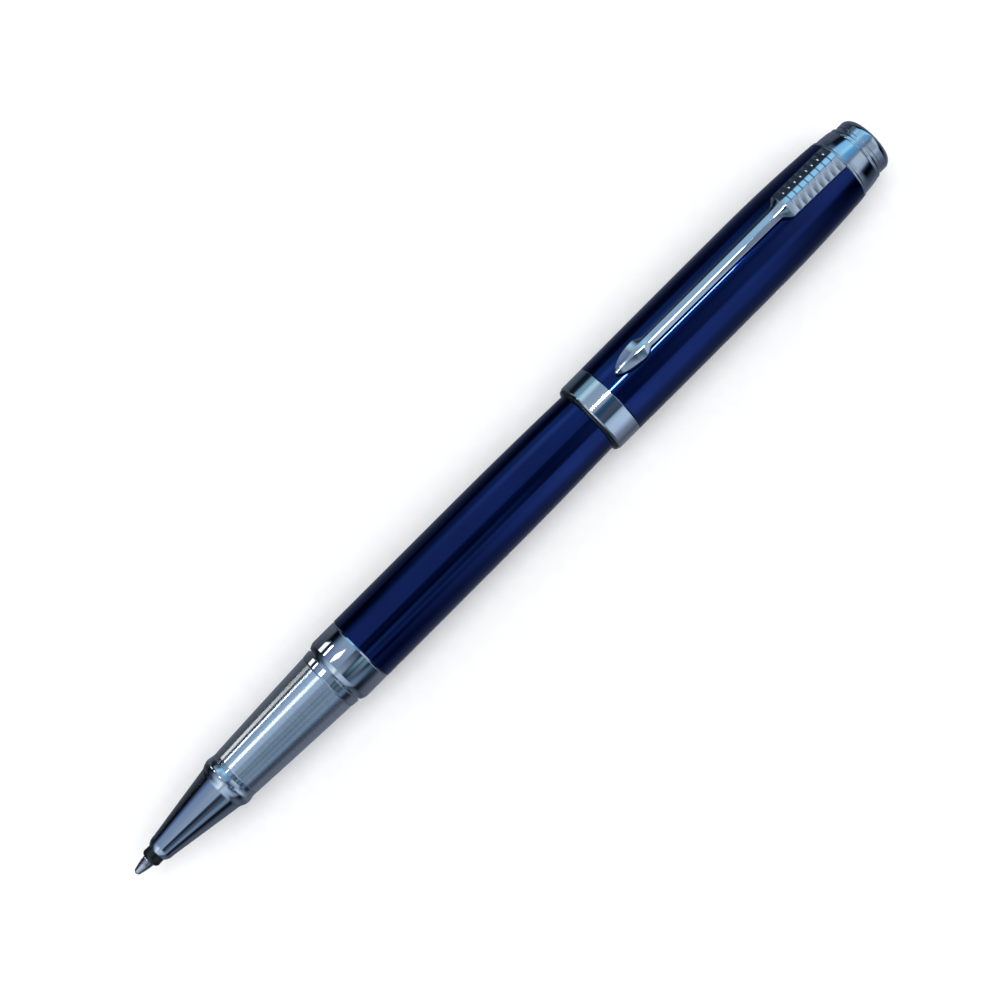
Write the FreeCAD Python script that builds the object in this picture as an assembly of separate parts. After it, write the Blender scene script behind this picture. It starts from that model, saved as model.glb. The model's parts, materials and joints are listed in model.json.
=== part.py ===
"""Capped metal rollerball pen, shown with its cap posted on the rear of the barrel.

Units are millimetres. The pen lies along +X with its writing ball towards -X and the cap's
crown towards +X. Its pocket clip points straight up, so the X-Z plane is a plane of symmetry.
The pieces are first built on the X axis, with x counted from the writing ball's front. Saving
a piece moves it so that the origin is under the middle of the pen, at its lowest point.
"""

import FreeCAD, Part
import math
import os

# ---- Lengths along the axis -------------------------------------------------------------------
POINT_REACH = 2.75
COLLAR_REACH = 1.65
NOSE_LENGTH = 16.35
GRIP_LENGTH = 18.65
SECTION_RING_LENGTH = 1.5
FRONT_RING_FLARE = 1.1
FRONT_RING_BAND = 4.4
BARREL_STRAIGHT = 25.1
END_CAP_LENGTH = 1.4
POST_DEPTH = 27.0
LIP_LENGTH = 0.5
BAND_LENGTH = 4.35
CAP_BELLY_LENGTH = 30.0
CAP_SHOULDER_LENGTH = 18.5
CROWN_BASE_LENGTH = 3.25
CROWN_BEAD_LENGTH = 0.7
CROWN_GROOVE_LENGTH = 0.65
CROWN_RING_LENGTH = 1.05
CROWN_DOME_LENGTH = 1.0

# ---- Refill -----------------------------------------------------------------------------------
REFILL_LENGTH = 110.2
REFILL_R = 3.0
REFILL_WALL = 0.25
BALL_R = 0.38
BALL_GRIP = 0.16
INK_CHANNEL_R = 0.20
POINT_MOUTH_R = 0.47
POINT_SWELL = 0.055
POINT_R = 0.98
POINT_BORE_R = 0.55
POINT_SHANK = 6.0
POINT_CHAMBER = 0.75
COLLAR_R = 1.50
COLLAR_NOSE_R = 1.10
COLLAR_STRAIGHT = 3.6
COLLAR_CONE = 6.6
COLLAR_STEP = 0.5
COLLAR_LENGTH = 19.25
COLLAR_SPIGOT = 4.0
FEED_R = 0.9
FEED_LENGTH = 30.0
FEED_SETBACK = 3.0
PLUG_HEAD = 2.0
PLUG_SPIGOT = 3.0
PLUG_VENT_R = 0.4

# ---- Writing section --------------------------------------------------------------------------
NOSE_LIP = 0.07
NOSE_ROUNDING = 0.44
NOSE_ROUNDING_LENGTH = 1.4
NOSE_CONE_DROP = 0.35
NOSE_BEAD_HEIGHT = 0.195
NOSE_BEAD_REACH = 1.0
NOSE_NECK_LENGTH = 0.7
GRIP_WALL = 0.40
GRIP_SWELL = 0.025
NIPPLE_WALL = 0.85
NIPPLE_LENGTH = 3.15
LINER_WALL = 0.70
RING_SEAT_STEP = 0.25
THREAD_STEP = 0.55
THREAD_DEPTH = 0.22
THREAD_LEAD = 0.6
THREAD_LENGTH = 9.6
THREAD_RELIEF = 0.4
RING_STEP = 0.04
RING_SLOPE = 0.12

# ---- Barrel -----------------------------------------------------------------------------------
BARREL_WALL = 0.5
barrel_rEAR_STEP = 1.2
FRONT_RING_SET = 0.04
FLARE_STEP = 0.42
BUSH_LENGTH = 11.2
BUSH_WALL = 0.54
RING_LIP = 1.4
END_WALL = 0.55
END_BORE_LENGTH = 6.0
END_SPIGOT = 4.0
END_CAP_SLOPE = 0.7
SPRING_ROOM = 5.4
SPRING_WIRE_R = 0.2
SPRING_INSET = 0.7
SPRING_WIRE_SIDES = 12
SPRING_TURNS = 5

# ---- Cap --------------------------------------------------------------------------------------
INNER_CAP_WALL = 0.43
CAP_WALL = 0.37
CAP_SWELL = 0.06
CAP_SHOULDER_SWELL = 0.03
CAP_REAR_FALL = 0.7
CAP_BORE_CONE = 8.6
CAP_END_WALL = 0.61
CAP_END_BORE_LENGTH = 5.9
CAP_SPIGOT_WALL = 0.18
CAP_SPIGOT_LENGTH = 3.55
BAND_SET = 0.02
LIP_SET = 0.20
POST_ROOM = 1.5
SEAL_INSET = 0.25
SEAL_WALL = 0.5
SEAL_CONE = 1.6
SEAL_END = 1.0
seal_bore_rOOM = 1.8
RETAINER_LENGTH = 4.8
CROWN_SPIGOT = 0.55
CROWN_FLANGE_SET = 0.06
CROWN_FLANGE_LENGTH = 0.4
CROWN_BASE_STEP = 0.19
CROWN_TAPER = 0.27
CROWN_BEAD_SET = 0.08
CROWN_GROOVE_DEPTH = 0.36
CROWN_RING_STEP = 0.27
CROWN_DOME_DROP = 0.74
SCREW_R = 1.45
SCREW_HEAD_R = 2.4
SCREW_HEAD_LENGTH = 1.6
SCREW_BITE = 1.8
SCREW_SLOT = 0.5

# ---- Clip -------------------------------------------------------------------------------------
CLIP_LENGTH = 45.9
CLIP_TIP_LENGTH = 6.7
CLIP_TIP_NOSE = 0.45
CLIP_TIP_WIDTH = 3.3
CLIP_TIP_WIDEST = 5.1
CLIP_SHAFT_FRONT_WIDTH = 2.0
CLIP_SHAFT_REAR_WIDTH = 2.4
CLIP_HEAD_LENGTH = 12.5
CLIP_HEAD_SHOULDER = 1.7
CLIP_HEAD_WIDTH = 4.8
CLIP_THICKNESS = 0.85
CLIP_LIFT = 0.75
CLIP_HEAD_TOP = 1.75
CLIP_RIDGE_WIDTH = 1.0
CLIP_TIP_DROP = 0.3
CLIP_SHAFT_DROP = 0.45
CLIP_HEAD_DROP = 0.95
CLIP_REAR_GAP = 0.35
RIB_COUNT = 8
RIB_DEPTH = 0.22
RIB_WIDTH = 0.4
TANG_LENGTH = 0.9
TANG_WIDTH = 2.8
TANG_DEPTH = 2.2
TANG_SETBACK = 0.5

# ---- Clearances -------------------------------------------------------------------------------
FIT_GAP = 0.02
TURN_GAP = 0.03
RUNNING_GAP = 0.05
BALL_GAP = 0.02
CLIP_SEAT_GAP = 0.15
CLIP_TIP_GAP = 0.08
SCREW_GAP = 0.1
TANG_ROOM = 0.3
EDGE = 0.08

# ---- Stations along the axis ------------------------------------------------------------------
collar_front = POINT_REACH
nose_front = collar_front + COLLAR_REACH
nose_rear = nose_front + NOSE_LENGTH
grip_rear = nose_rear + GRIP_LENGTH
section_rear = grip_rear + SECTION_RING_LENGTH
flare_rear = section_rear + FRONT_RING_FLARE
barrel_front = flare_rear + FRONT_RING_BAND
taper_front = barrel_front + BARREL_STRAIGHT
spigot_front = REFILL_LENGTH + SPRING_ROOM
barrel_rear = spigot_front + END_SPIGOT
body_rear = barrel_rear + END_CAP_LENGTH
cap_front = body_rear - POST_DEPTH
band_front = cap_front + LIP_LENGTH
band_rear = band_front + BAND_LENGTH
shoulder = band_rear + CAP_BELLY_LENGTH
cap_rear = shoulder + CAP_SHOULDER_LENGTH
crown_joint = cap_rear + CROWN_BASE_LENGTH
bead_rear = crown_joint + CROWN_BEAD_LENGTH
ring_front = bead_rear + CROWN_GROOVE_LENGTH
ring_rear = ring_front + CROWN_RING_LENGTH
crown_end = ring_rear + CROWN_DOME_LENGTH
retainer_rear = cap_rear - CROWN_SPIGOT
retainer_front = retainer_rear - RETAINER_LENGTH
screw_front = retainer_front - SCREW_HEAD_LENGTH
screw_rear = crown_joint + SCREW_BITE
seal_front = body_rear + POST_ROOM
seal_end = screw_front - seal_bore_rOOM
clip_rear = cap_rear - CLIP_REAR_GAP
clip_front = clip_rear - CLIP_LENGTH
tang_rear = clip_rear - TANG_SETBACK
tang_front = tang_rear - TANG_LENGTH
shank_rear = collar_front + POINT_SHANK
cone_front = nose_front + COLLAR_STRAIGHT
cone_rear = cone_front + COLLAR_CONE
collar_rear = collar_front + COLLAR_LENGTH
bush_front = section_rear + RING_LIP

# ---- Radii that follow from the ones above ----------------------------------------------------
refill_inner_r = REFILL_R - REFILL_WALL
refill_bore_r = REFILL_R + RUNNING_GAP
collar_body_r = REFILL_R - COLLAR_STEP
collar_bore_r = collar_body_r + RUNNING_GAP
nose_bore_r = COLLAR_R + RUNNING_GAP
nose_front_r = nose_bore_r + NOSE_LIP
nose_shoulder_r = nose_front_r + NOSE_ROUNDING
nipple_r = collar_bore_r + NIPPLE_WALL
liner_r = refill_bore_r + LINER_WALL
grip_front_r = liner_r + FIT_GAP + GRIP_WALL
nose_neck_r = grip_front_r - FIT_GAP
nose_bead_r = nose_neck_r + NOSE_BEAD_HEIGHT
nose_cone_r = nose_neck_r - NOSE_CONE_DROP
ring_seat_r = liner_r + RING_SEAT_STEP
thread_r = ring_seat_r + THREAD_STEP
tube_bore_r = thread_r + RUNNING_GAP + BUSH_WALL + FIT_GAP
barrel_r = tube_bore_r + BARREL_WALL
barrel_rear_r = refill_bore_r + barrel_rEAR_STEP
front_ring_r = barrel_r - FRONT_RING_SET
section_ring_rear_r = front_ring_r - FLARE_STEP
section_ring_front_r = section_ring_rear_r - RING_SLOPE
grip_rear_r = section_ring_front_r - RING_STEP
grip_middle_r = (grip_front_r + grip_rear_r) / 2 + GRIP_SWELL
end_bore_r = barrel_rear_r - END_WALL
spring_mean_r = REFILL_R - SPRING_INSET
screw_hole_r = SCREW_R + SCREW_GAP


def point(x, r):
    return FreeCAD.Vector(x, 0, r)


def wire(start, steps):
    """Closed wire in the X-Z plane. A step is a point, or a (through, end) pair for an arc."""
    edges = []
    first = point(*start)
    here = first
    for step in steps:
        if isinstance(step[0], tuple):
            through = point(*step[0])
            there = point(*step[1])
            edges.append(Part.Arc(here, through, there).toShape())
        else:
            there = point(*step)
            edges.append(Part.LineSegment(here, there).toShape())
        here = there
    if here.distanceToPoint(first) > 0:
        edges.append(Part.LineSegment(here, first).toShape())
    return Part.Wire(edges)


def turned(start, *steps):
    """Solid of revolution about the X axis."""
    face = Part.Face(wire(start, steps))
    return face.revolve(FreeCAD.Vector(0, 0, 0), FreeCAD.Vector(1, 0, 0), 360)


def slab(start, steps, width):
    """Prism of an X-Z outline, centred on the plane of symmetry."""
    face = Part.Face(wire(start, steps))
    face.translate(FreeCAD.Vector(0, -width / 2, 0))
    return face.extrude(FreeCAD.Vector(0, width, 0))


def block(x0, x1, width, z0, z1):
    return Part.makeBox(x1 - x0, width, z1 - z0, FreeCAD.Vector(x0, -width / 2, z0))


def rod(x0, x1, r):
    return Part.makeCylinder(r, x1 - x0, FreeCAD.Vector(x0, 0, 0), FreeCAD.Vector(1, 0, 0))


def arc_height(first, through, last, x):
    """Radius, at station x, of the arc through three (station, radius) points."""
    circle = Part.Arc(point(*first), point(*through), point(*last)).toShape().Curve
    reach = math.sqrt(circle.Radius**2 - (x - circle.Center.x) ** 2)
    below = circle.Center.z < first[1]
    return circle.Center.z + reach if below else circle.Center.z - reach


def cap_arcs():
    """The cap tube's outline: a long belly, then a shoulder that turns in to the crown."""
    belly = (
        (band_rear, cap_front_r),
        ((band_rear + shoulder) / 2, cap_belly_r),
        (shoulder, cap_shoulder_r),
    )
    turn_in = (
        (shoulder, cap_shoulder_r),
        ((shoulder + cap_rear) / 2, cap_shoulder_r - (cap_shoulder_r - cap_rear_r) / 4),
        (cap_rear, cap_rear_r),
    )
    return belly, turn_in


def cap_radius(x):
    belly, turn_in = cap_arcs()
    return arc_height(*(belly if x < shoulder else turn_in), x)


def barrel_arc():
    """The barrel's taper, which leaves the straight stretch smoothly."""
    fall = barrel_r - barrel_rear_r
    middle = ((taper_front + barrel_rear) / 2, barrel_r - fall / 4)
    return (taper_front, barrel_r), middle, (barrel_rear, barrel_rear_r)


# ---- The cap's radii, which follow from the barrel at the cap's mouth -------------------------
mouth_r = arc_height(*barrel_arc(), cap_front) + RUNNING_GAP
cap_bore_r = mouth_r + INNER_CAP_WALL + TURN_GAP
cap_front_r = cap_bore_r + CAP_WALL
cap_belly_r = cap_front_r + CAP_SWELL
cap_shoulder_r = cap_front_r + CAP_SHOULDER_SWELL
cap_rear_r = cap_shoulder_r - CAP_REAR_FALL
cap_end_bore_r = cap_rear_r - CAP_END_WALL
cap_spigot_r = cap_bore_r + CAP_SPIGOT_WALL
band_r = cap_front_r - BAND_SET
lip_r = band_r - LIP_SET
seal_outer_r = cap_end_bore_r - SEAL_INSET
seal_bore_r = seal_outer_r - SEAL_WALL
crown_flange_r = cap_rear_r - CROWN_FLANGE_SET
crown_base_r = crown_flange_r - CROWN_BASE_STEP
crown_neck_r = crown_base_r - CROWN_TAPER
crown_bead_r = crown_neck_r - CROWN_BEAD_SET
crown_groove_r = crown_bead_r - CROWN_GROOVE_DEPTH
crown_ring_r = crown_bead_r - CROWN_RING_STEP
crown_end_r = crown_ring_r - CROWN_DOME_DROP
axis_height = max(cap_belly_r, barrel_r)


# ---- Refill and its spring --------------------------------------------------------------------
def writing_ball():
    return Part.makeSphere(BALL_R, FreeCAD.Vector(BALL_R, 0, 0))


def refill_point():
    mouth = BALL_R - BALL_GRIP
    middle_r = (POINT_MOUTH_R + POINT_R) / 2 + POINT_SWELL
    outside = turned(
        (mouth, 0),
        (mouth, POINT_MOUTH_R),
        (((mouth + collar_front) / 2, middle_r), (collar_front, POINT_R)),
        (shank_rear, POINT_R),
        (shank_rear, 0),
    )
    socket = Part.makeSphere(BALL_R + BALL_GAP, FreeCAD.Vector(BALL_R, 0, 0))
    channel = rod(BALL_R, collar_front, INK_CHANNEL_R)
    bore = rod(collar_front - POINT_CHAMBER, shank_rear, POINT_BORE_R)
    return outside.cut(socket).cut(channel).cut(bore)


def refill_collar():
    spigot_rear = collar_rear + COLLAR_SPIGOT
    rounding = (COLLAR_R - COLLAR_NOSE_R) * 0.7
    return turned(
        (collar_front, POINT_R),
        (collar_front, COLLAR_NOSE_R),
        ((collar_front + rounding * 0.45, COLLAR_R - rounding * 0.4),
         (collar_front + COLLAR_REACH / 2, COLLAR_R)),
        (cone_front, COLLAR_R),
        (cone_rear, collar_body_r),
        (collar_rear, collar_body_r),
        (collar_rear, refill_inner_r),
        (spigot_rear, refill_inner_r),
        (spigot_rear, FEED_R),
        (shank_rear, FEED_R),
        (shank_rear, POINT_R),
    )


def feed_rod():
    front = collar_front + FEED_SETBACK
    rear = shank_rear + FEED_LENGTH
    return turned(
        (front, 0),
        (front, POINT_BORE_R),
        (shank_rear, POINT_BORE_R),
        (shank_rear, FEED_R),
        (rear, FEED_R),
        (rear, 0),
    )


def ink_reservoir():
    front = collar_rear + COLLAR_SPIGOT
    rear = REFILL_LENGTH - PLUG_HEAD - PLUG_SPIGOT
    body = rod(front, rear, refill_inner_r)
    return body.cut(rod(front, shank_rear + FEED_LENGTH, FEED_R))


def refill_tube():
    tube_rear = REFILL_LENGTH - PLUG_HEAD
    body = rod(collar_rear, tube_rear, REFILL_R)
    return body.cut(rod(collar_rear, tube_rear, refill_inner_r))


def refill_end_plug():
    head_front = REFILL_LENGTH - PLUG_HEAD
    spigot = head_front - PLUG_SPIGOT
    return turned(
        (spigot, PLUG_VENT_R),
        (spigot, refill_inner_r),
        (head_front, refill_inner_r),
        (head_front, REFILL_R),
        (REFILL_LENGTH - PLUG_VENT_R, REFILL_R),
        (REFILL_LENGTH, REFILL_R - PLUG_VENT_R),
        (REFILL_LENGTH, PLUG_VENT_R),
    )


def refill_spring():
    """Coil between the refill's plug and the barrel's end, its wire just clear of both.

    The wire is many-sided, so that meshes made from it keep its volume.
    """
    front = REFILL_LENGTH + SPRING_WIRE_R + RUNNING_GAP
    rear = spigot_front - SPRING_WIRE_R - RUNNING_GAP
    helix = Part.makeHelix((rear - front) / SPRING_TURNS, rear - front, spring_mean_r)
    corners = []
    for side in range(SPRING_WIRE_SIDES + 1):
        angle = 2 * math.pi * side / SPRING_WIRE_SIDES
        x = spring_mean_r + SPRING_WIRE_R * math.cos(angle)
        corners.append(FreeCAD.Vector(x, 0, SPRING_WIRE_R * math.sin(angle)))
    section = Part.makePolygon(corners)
    coil = Part.Wire(helix.Edges).makePipeShell([section], True, True)
    coil.rotate(FreeCAD.Vector(0, 0, 0), FreeCAD.Vector(0, 1, 0), 90)
    coil.translate(FreeCAD.Vector(front, 0, 0))
    return coil


# ---- Writing section --------------------------------------------------------------------------
def nose_cone():
    neck = nose_rear - NOSE_NECK_LENGTH
    bead = neck - NOSE_BEAD_REACH
    foot = bead - NOSE_BEAD_REACH
    flare_front = foot - NOSE_BEAD_REACH * 0.85
    foot_r = (nose_cone_r + nose_bead_r) / 2
    hollow = (foot - NOSE_BEAD_REACH * 0.35, nose_cone_r + NOSE_BEAD_HEIGHT / 2)
    thread_front = nose_rear - NIPPLE_LENGTH
    return turned(
        (nose_front, nose_bore_r),
        (nose_front, nose_front_r),
        ((nose_front + NOSE_ROUNDING_LENGTH * 0.3, nose_front_r + NOSE_ROUNDING * 0.57),
         (nose_front + NOSE_ROUNDING_LENGTH, nose_shoulder_r)),
        (flare_front, nose_cone_r),
        (hollow, (foot, foot_r)),
        ((bead - NOSE_BEAD_REACH * 0.55, nose_bead_r - NOSE_BEAD_HEIGHT / 2),
         (bead, nose_bead_r)),
        ((bead + NOSE_BEAD_REACH / 2, nose_bead_r - NOSE_BEAD_HEIGHT * 0.35),
         (neck, nose_neck_r)),
        (nose_rear, nose_neck_r),
        (nose_rear, nipple_r + FIT_GAP),
        (thread_front, nipple_r + FIT_GAP),
        (thread_front, collar_bore_r),
        (cone_rear - RUNNING_GAP, collar_bore_r),
        (cone_front - RUNNING_GAP, nose_bore_r),
    )


def grip_sleeve():
    return turned(
        (nose_rear, liner_r + FIT_GAP),
        (nose_rear, grip_front_r - EDGE),
        (nose_rear + EDGE, grip_front_r),
        (((nose_rear + grip_rear) / 2, grip_middle_r), (grip_rear - EDGE, grip_rear_r)),
        (grip_rear, grip_rear_r - EDGE),
        (grip_rear, liner_r + FIT_GAP),
    )


def section_liner():
    """Inner tube that carries the nose, grip and ring, with the barrel's thread at its rear."""
    nipple_front = nose_rear - NIPPLE_LENGTH
    thread_front = section_rear + THREAD_RELIEF
    thread_rear = section_rear + THREAD_LENGTH
    step = collar_rear - RUNNING_GAP
    ridges = []
    turns = int((thread_rear - thread_front) / THREAD_LEAD)
    for turn in range(turns):
        x = thread_front + turn * THREAD_LEAD
        ridges.append((x + THREAD_LEAD * 0.35, thread_r))
        ridges.append((x + THREAD_LEAD * 0.65, thread_r))
        ridges.append((x + THREAD_LEAD, thread_r - THREAD_DEPTH))
    return turned(
        (nipple_front, collar_bore_r),
        (nipple_front, nipple_r),
        (nose_rear, nipple_r),
        (nose_rear, liner_r),
        (grip_rear, liner_r),
        (grip_rear, ring_seat_r),
        (section_rear, ring_seat_r),
        (section_rear, thread_r - THREAD_DEPTH),
        (thread_front, thread_r - THREAD_DEPTH),
        *ridges,
        (thread_rear, thread_r - THREAD_DEPTH),
        (thread_rear, refill_bore_r),
        (step, refill_bore_r),
        (step, collar_bore_r),
    )


def section_ring():
    return turned(
        (grip_rear, ring_seat_r + TURN_GAP),
        (grip_rear, section_ring_front_r - EDGE),
        (grip_rear + EDGE, section_ring_front_r),
        (section_rear - EDGE, section_ring_rear_r),
        (section_rear, section_ring_rear_r - EDGE),
        (section_rear, ring_seat_r + TURN_GAP),
    )


# ---- Barrel -----------------------------------------------------------------------------------
def barrel_front_ring():
    flare_x = section_rear + FRONT_RING_FLARE * 0.55
    flare_r = (section_ring_rear_r + front_ring_r) / 2 + EDGE / 2
    return turned(
        (section_rear, thread_r + RUNNING_GAP),
        (section_rear, section_ring_rear_r - EDGE),
        (section_rear + EDGE, section_ring_rear_r),
        ((flare_x, flare_r), (flare_rear, front_ring_r)),
        (barrel_front - 2 * EDGE, front_ring_r),
        (barrel_front, front_ring_r - EDGE),
        (barrel_front, tube_bore_r),
        (bush_front, tube_bore_r),
        (bush_front, thread_r + RUNNING_GAP),
    )


def barrel_bush():
    """Brass insert with the female thread, pressed into the tube and the front ring."""
    bush_rear = bush_front + BUSH_LENGTH
    body = rod(bush_front, bush_rear, tube_bore_r - FIT_GAP)
    return body.cut(rod(bush_front, bush_rear, thread_r + RUNNING_GAP))


def barrel_tube():
    bore_front = barrel_rear - END_BORE_LENGTH
    half = (taper_front + bore_front) / 2
    outer = barrel_arc()
    inner_front_r = arc_height(*outer, bore_front) - BARREL_WALL
    inner_half_r = arc_height(*outer, half) - BARREL_WALL
    return turned(
        (barrel_front, tube_bore_r),
        (barrel_front, barrel_r - EDGE),
        (barrel_front + EDGE, barrel_r),
        (taper_front, barrel_r),
        (outer[1], outer[2]),
        (barrel_rear, end_bore_r),
        (bore_front, end_bore_r),
        (bore_front, inner_front_r),
        ((half, inner_half_r), (taper_front, tube_bore_r)),
    )


def barrel_end_cap():
    spigot_r = end_bore_r - FIT_GAP
    end_r = barrel_rear_r - END_CAP_SLOPE
    bulge = (barrel_rear + END_CAP_LENGTH * 0.6, barrel_rear_r - END_CAP_SLOPE / 3)
    return turned(
        (spigot_front, 0),
        (spigot_front, spigot_r),
        (barrel_rear, spigot_r),
        (barrel_rear, barrel_rear_r - EDGE),
        (bulge, (body_rear - EDGE, end_r)),
        (body_rear, end_r - EDGE),
        (body_rear, 0),
    )


# ---- Cap --------------------------------------------------------------------------------------
def inner_cap():
    """Black liner: its rim shows at the cap's mouth and its closed end seals the point."""
    outer = cap_bore_r - TURN_GAP
    seal_rear = seal_front + SEAL_CONE
    bore_end = seal_end - SEAL_END
    return turned(
        (cap_front + EDGE, mouth_r),
        (cap_front, mouth_r + EDGE),
        (cap_front, lip_r - LIP_LENGTH / 2),
        ((cap_front + LIP_LENGTH / 4, lip_r - EDGE), (band_front - TURN_GAP, lip_r)),
        (band_front - TURN_GAP, outer),
        (seal_front, outer),
        (seal_rear, seal_outer_r),
        (seal_end, seal_outer_r),
        (seal_end, 0),
        (bore_end, 0),
        (bore_end, seal_bore_r),
        (seal_rear, seal_bore_r),
        (seal_front, mouth_r),
    )


def cap_band():
    cap_spigot = band_rear - CAP_SPIGOT_LENGTH
    return turned(
        (band_front, cap_bore_r),
        (band_front, band_r - 2 * EDGE),
        (band_front + 2 * EDGE, band_r),
        (band_rear - EDGE, band_r),
        (band_rear, band_r - EDGE),
        (band_rear, cap_spigot_r + FIT_GAP),
        (cap_spigot, cap_spigot_r + FIT_GAP),
        (cap_spigot, cap_bore_r),
    )


def cap_tube():
    belly, turn_in = cap_arcs()
    end_bore_front = cap_rear - CAP_END_BORE_LENGTH
    bore_rear = end_bore_front - CAP_BORE_CONE
    body = turned(
        (band_rear - CAP_SPIGOT_LENGTH, cap_bore_r),
        (band_rear - CAP_SPIGOT_LENGTH, cap_spigot_r),
        (band_rear, cap_spigot_r),
        (band_rear, cap_front_r),
        (belly[1], belly[2]),
        (turn_in[1], turn_in[2]),
        (cap_rear, cap_end_bore_r),
        (end_bore_front, cap_end_bore_r),
        (bore_rear, cap_bore_r),
    )
    slot_front = tang_front - TANG_ROOM
    slot_width = TANG_WIDTH + 2 * TANG_ROOM
    return body.cut(block(slot_front, cap_rear, slot_width, 0, cap_belly_r))


def clip_retainer():
    """Ring inside the cap's end whose notch holds the clip's tang."""
    ring_r = cap_end_bore_r - FIT_GAP
    body = rod(retainer_front, retainer_rear, ring_r)
    body = body.cut(rod(retainer_front, retainer_rear, screw_hole_r))
    notch_floor = cap_rear_r - TANG_DEPTH - TANG_ROOM
    width = TANG_WIDTH + 2 * TANG_ROOM
    notch = block(tang_front - TANG_ROOM, retainer_rear, width, notch_floor, cap_belly_r)
    return body.cut(notch)


def crown_base():
    flange_rear = cap_rear + CROWN_FLANGE_LENGTH
    taper_x = crown_joint - CROWN_BASE_LENGTH * 0.37
    return turned(
        (retainer_rear, screw_hole_r),
        (retainer_rear, cap_end_bore_r - FIT_GAP),
        (cap_rear, cap_end_bore_r - FIT_GAP),
        (cap_rear, crown_flange_r),
        (flange_rear, crown_flange_r),
        ((flange_rear + EDGE, crown_base_r + EDGE),
         (flange_rear + CROWN_BASE_STEP, crown_base_r)),
        ((taper_x, crown_base_r - CROWN_TAPER * 0.3), (crown_joint, crown_neck_r)),
        (crown_joint, screw_hole_r),
    )


def crown_finial():
    hole_end = screw_rear + SCREW_GAP
    dome = (ring_rear + CROWN_DOME_LENGTH * 0.62, crown_ring_r - CROWN_DOME_DROP * 0.4)
    return turned(
        (hole_end, 0),
        (hole_end, SCREW_R),
        (crown_joint, SCREW_R),
        (crown_joint, crown_bead_r - EDGE),
        (crown_joint + 2 * EDGE, crown_bead_r),
        (bead_rear - 2 * EDGE, crown_bead_r),
        (bead_rear, crown_bead_r - 2 * EDGE),
        (bead_rear, crown_groove_r),
        (ring_front, crown_groove_r),
        (ring_front, crown_ring_r - EDGE),
        (ring_front + EDGE, crown_ring_r),
        (ring_rear, crown_ring_r),
        (dome, (crown_end - EDGE, crown_end_r)),
        (crown_end, crown_end_r - 4 * EDGE),
        (crown_end, 0),
    )


def cap_screw():
    """Screw from inside the cap that draws the crown and the retainer together."""
    body = turned(
        (screw_front, 0),
        (screw_front, SCREW_HEAD_R - EDGE),
        (screw_front + EDGE, SCREW_HEAD_R),
        (retainer_front, SCREW_HEAD_R),
        (retainer_front, SCREW_R),
        (screw_rear - EDGE, SCREW_R),
        (screw_rear, SCREW_R - EDGE),
        (screw_rear, 0),
    )
    slot_rear = screw_front + SCREW_SLOT
    slot = block(screw_front, slot_rear, SCREW_SLOT, -SCREW_HEAD_R, SCREW_HEAD_R)
    return body.cut(slot)


# ---- Clip -------------------------------------------------------------------------------------
def clip_side():
    """Clip seen from the side: it seats near the crown, lifts clear and touches at its tip."""
    tip_rear = clip_front + CLIP_TIP_LENGTH
    head_front = clip_rear - CLIP_HEAD_LENGTH
    seat_front = head_front + CLIP_HEAD_SHOULDER
    touch = clip_front + CLIP_TIP_LENGTH / 2
    shaft_low = cap_belly_r + CLIP_LIFT
    shaft_top = shaft_low + CLIP_THICKNESS
    touch_low = cap_radius(touch) + CLIP_TIP_GAP
    seat_low = cap_radius(seat_front) + CLIP_SEAT_GAP
    rear_low = cap_radius(clip_rear) + CLIP_SEAT_GAP + EDGE
    rear_top = rear_low + CLIP_HEAD_TOP
    nose_low = touch_low + 0.4
    start = (clip_front, nose_low)
    steps = [
        (clip_front, nose_low + CLIP_TIP_NOSE),
        ((clip_front + CLIP_TIP_LENGTH * 0.4, shaft_top - 0.05), (tip_rear, shaft_top)),
        (head_front, shaft_top),
        (seat_front, seat_low + CLIP_HEAD_TOP),
        (clip_rear, rear_top),
        (clip_rear, rear_low),
        (seat_front, seat_low),
        (head_front - 1.0, shaft_low),
        (tip_rear, shaft_low),
        ((touch, touch_low), start),
    ]
    return slab(start, steps, 2 * CLIP_HEAD_WIDTH)


def clip_plan():
    """Clip seen from above: rounded tip, tapering shaft and a wider ribbed head."""
    tip_rear = clip_front + CLIP_TIP_LENGTH
    widest = clip_front + CLIP_TIP_WIDEST
    head_front = clip_rear - CLIP_HEAD_LENGTH
    half_tip = CLIP_TIP_WIDTH / 2
    half_front = CLIP_SHAFT_FRONT_WIDTH / 2
    half_rear = CLIP_SHAFT_REAR_WIDTH / 2
    half_head = CLIP_HEAD_WIDTH / 2
    quarter = (clip_front + CLIP_TIP_WIDEST * 0.35, half_tip * 0.72)
    corners = [
        (quarter, (widest, half_tip)),
        (tip_rear, half_front),
        (head_front, half_rear),
        (head_front + CLIP_HEAD_SHOULDER, half_head - 0.1),
        (clip_rear, half_head),
        (clip_rear, -half_head),
        (head_front + CLIP_HEAD_SHOULDER, 0.1 - half_head),
        (head_front, -half_rear),
        (tip_rear, -half_front),
        (widest, -half_tip),
        ((quarter[0], -quarter[1]), (clip_front, 0)),
    ]
    face = Part.Face(wire((clip_front, 0), corners))
    face.rotate(FreeCAD.Vector(0, 0, 0), FreeCAD.Vector(1, 0, 0), -90)
    return face.extrude(FreeCAD.Vector(0, 0, 2 * cap_belly_r))


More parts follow.
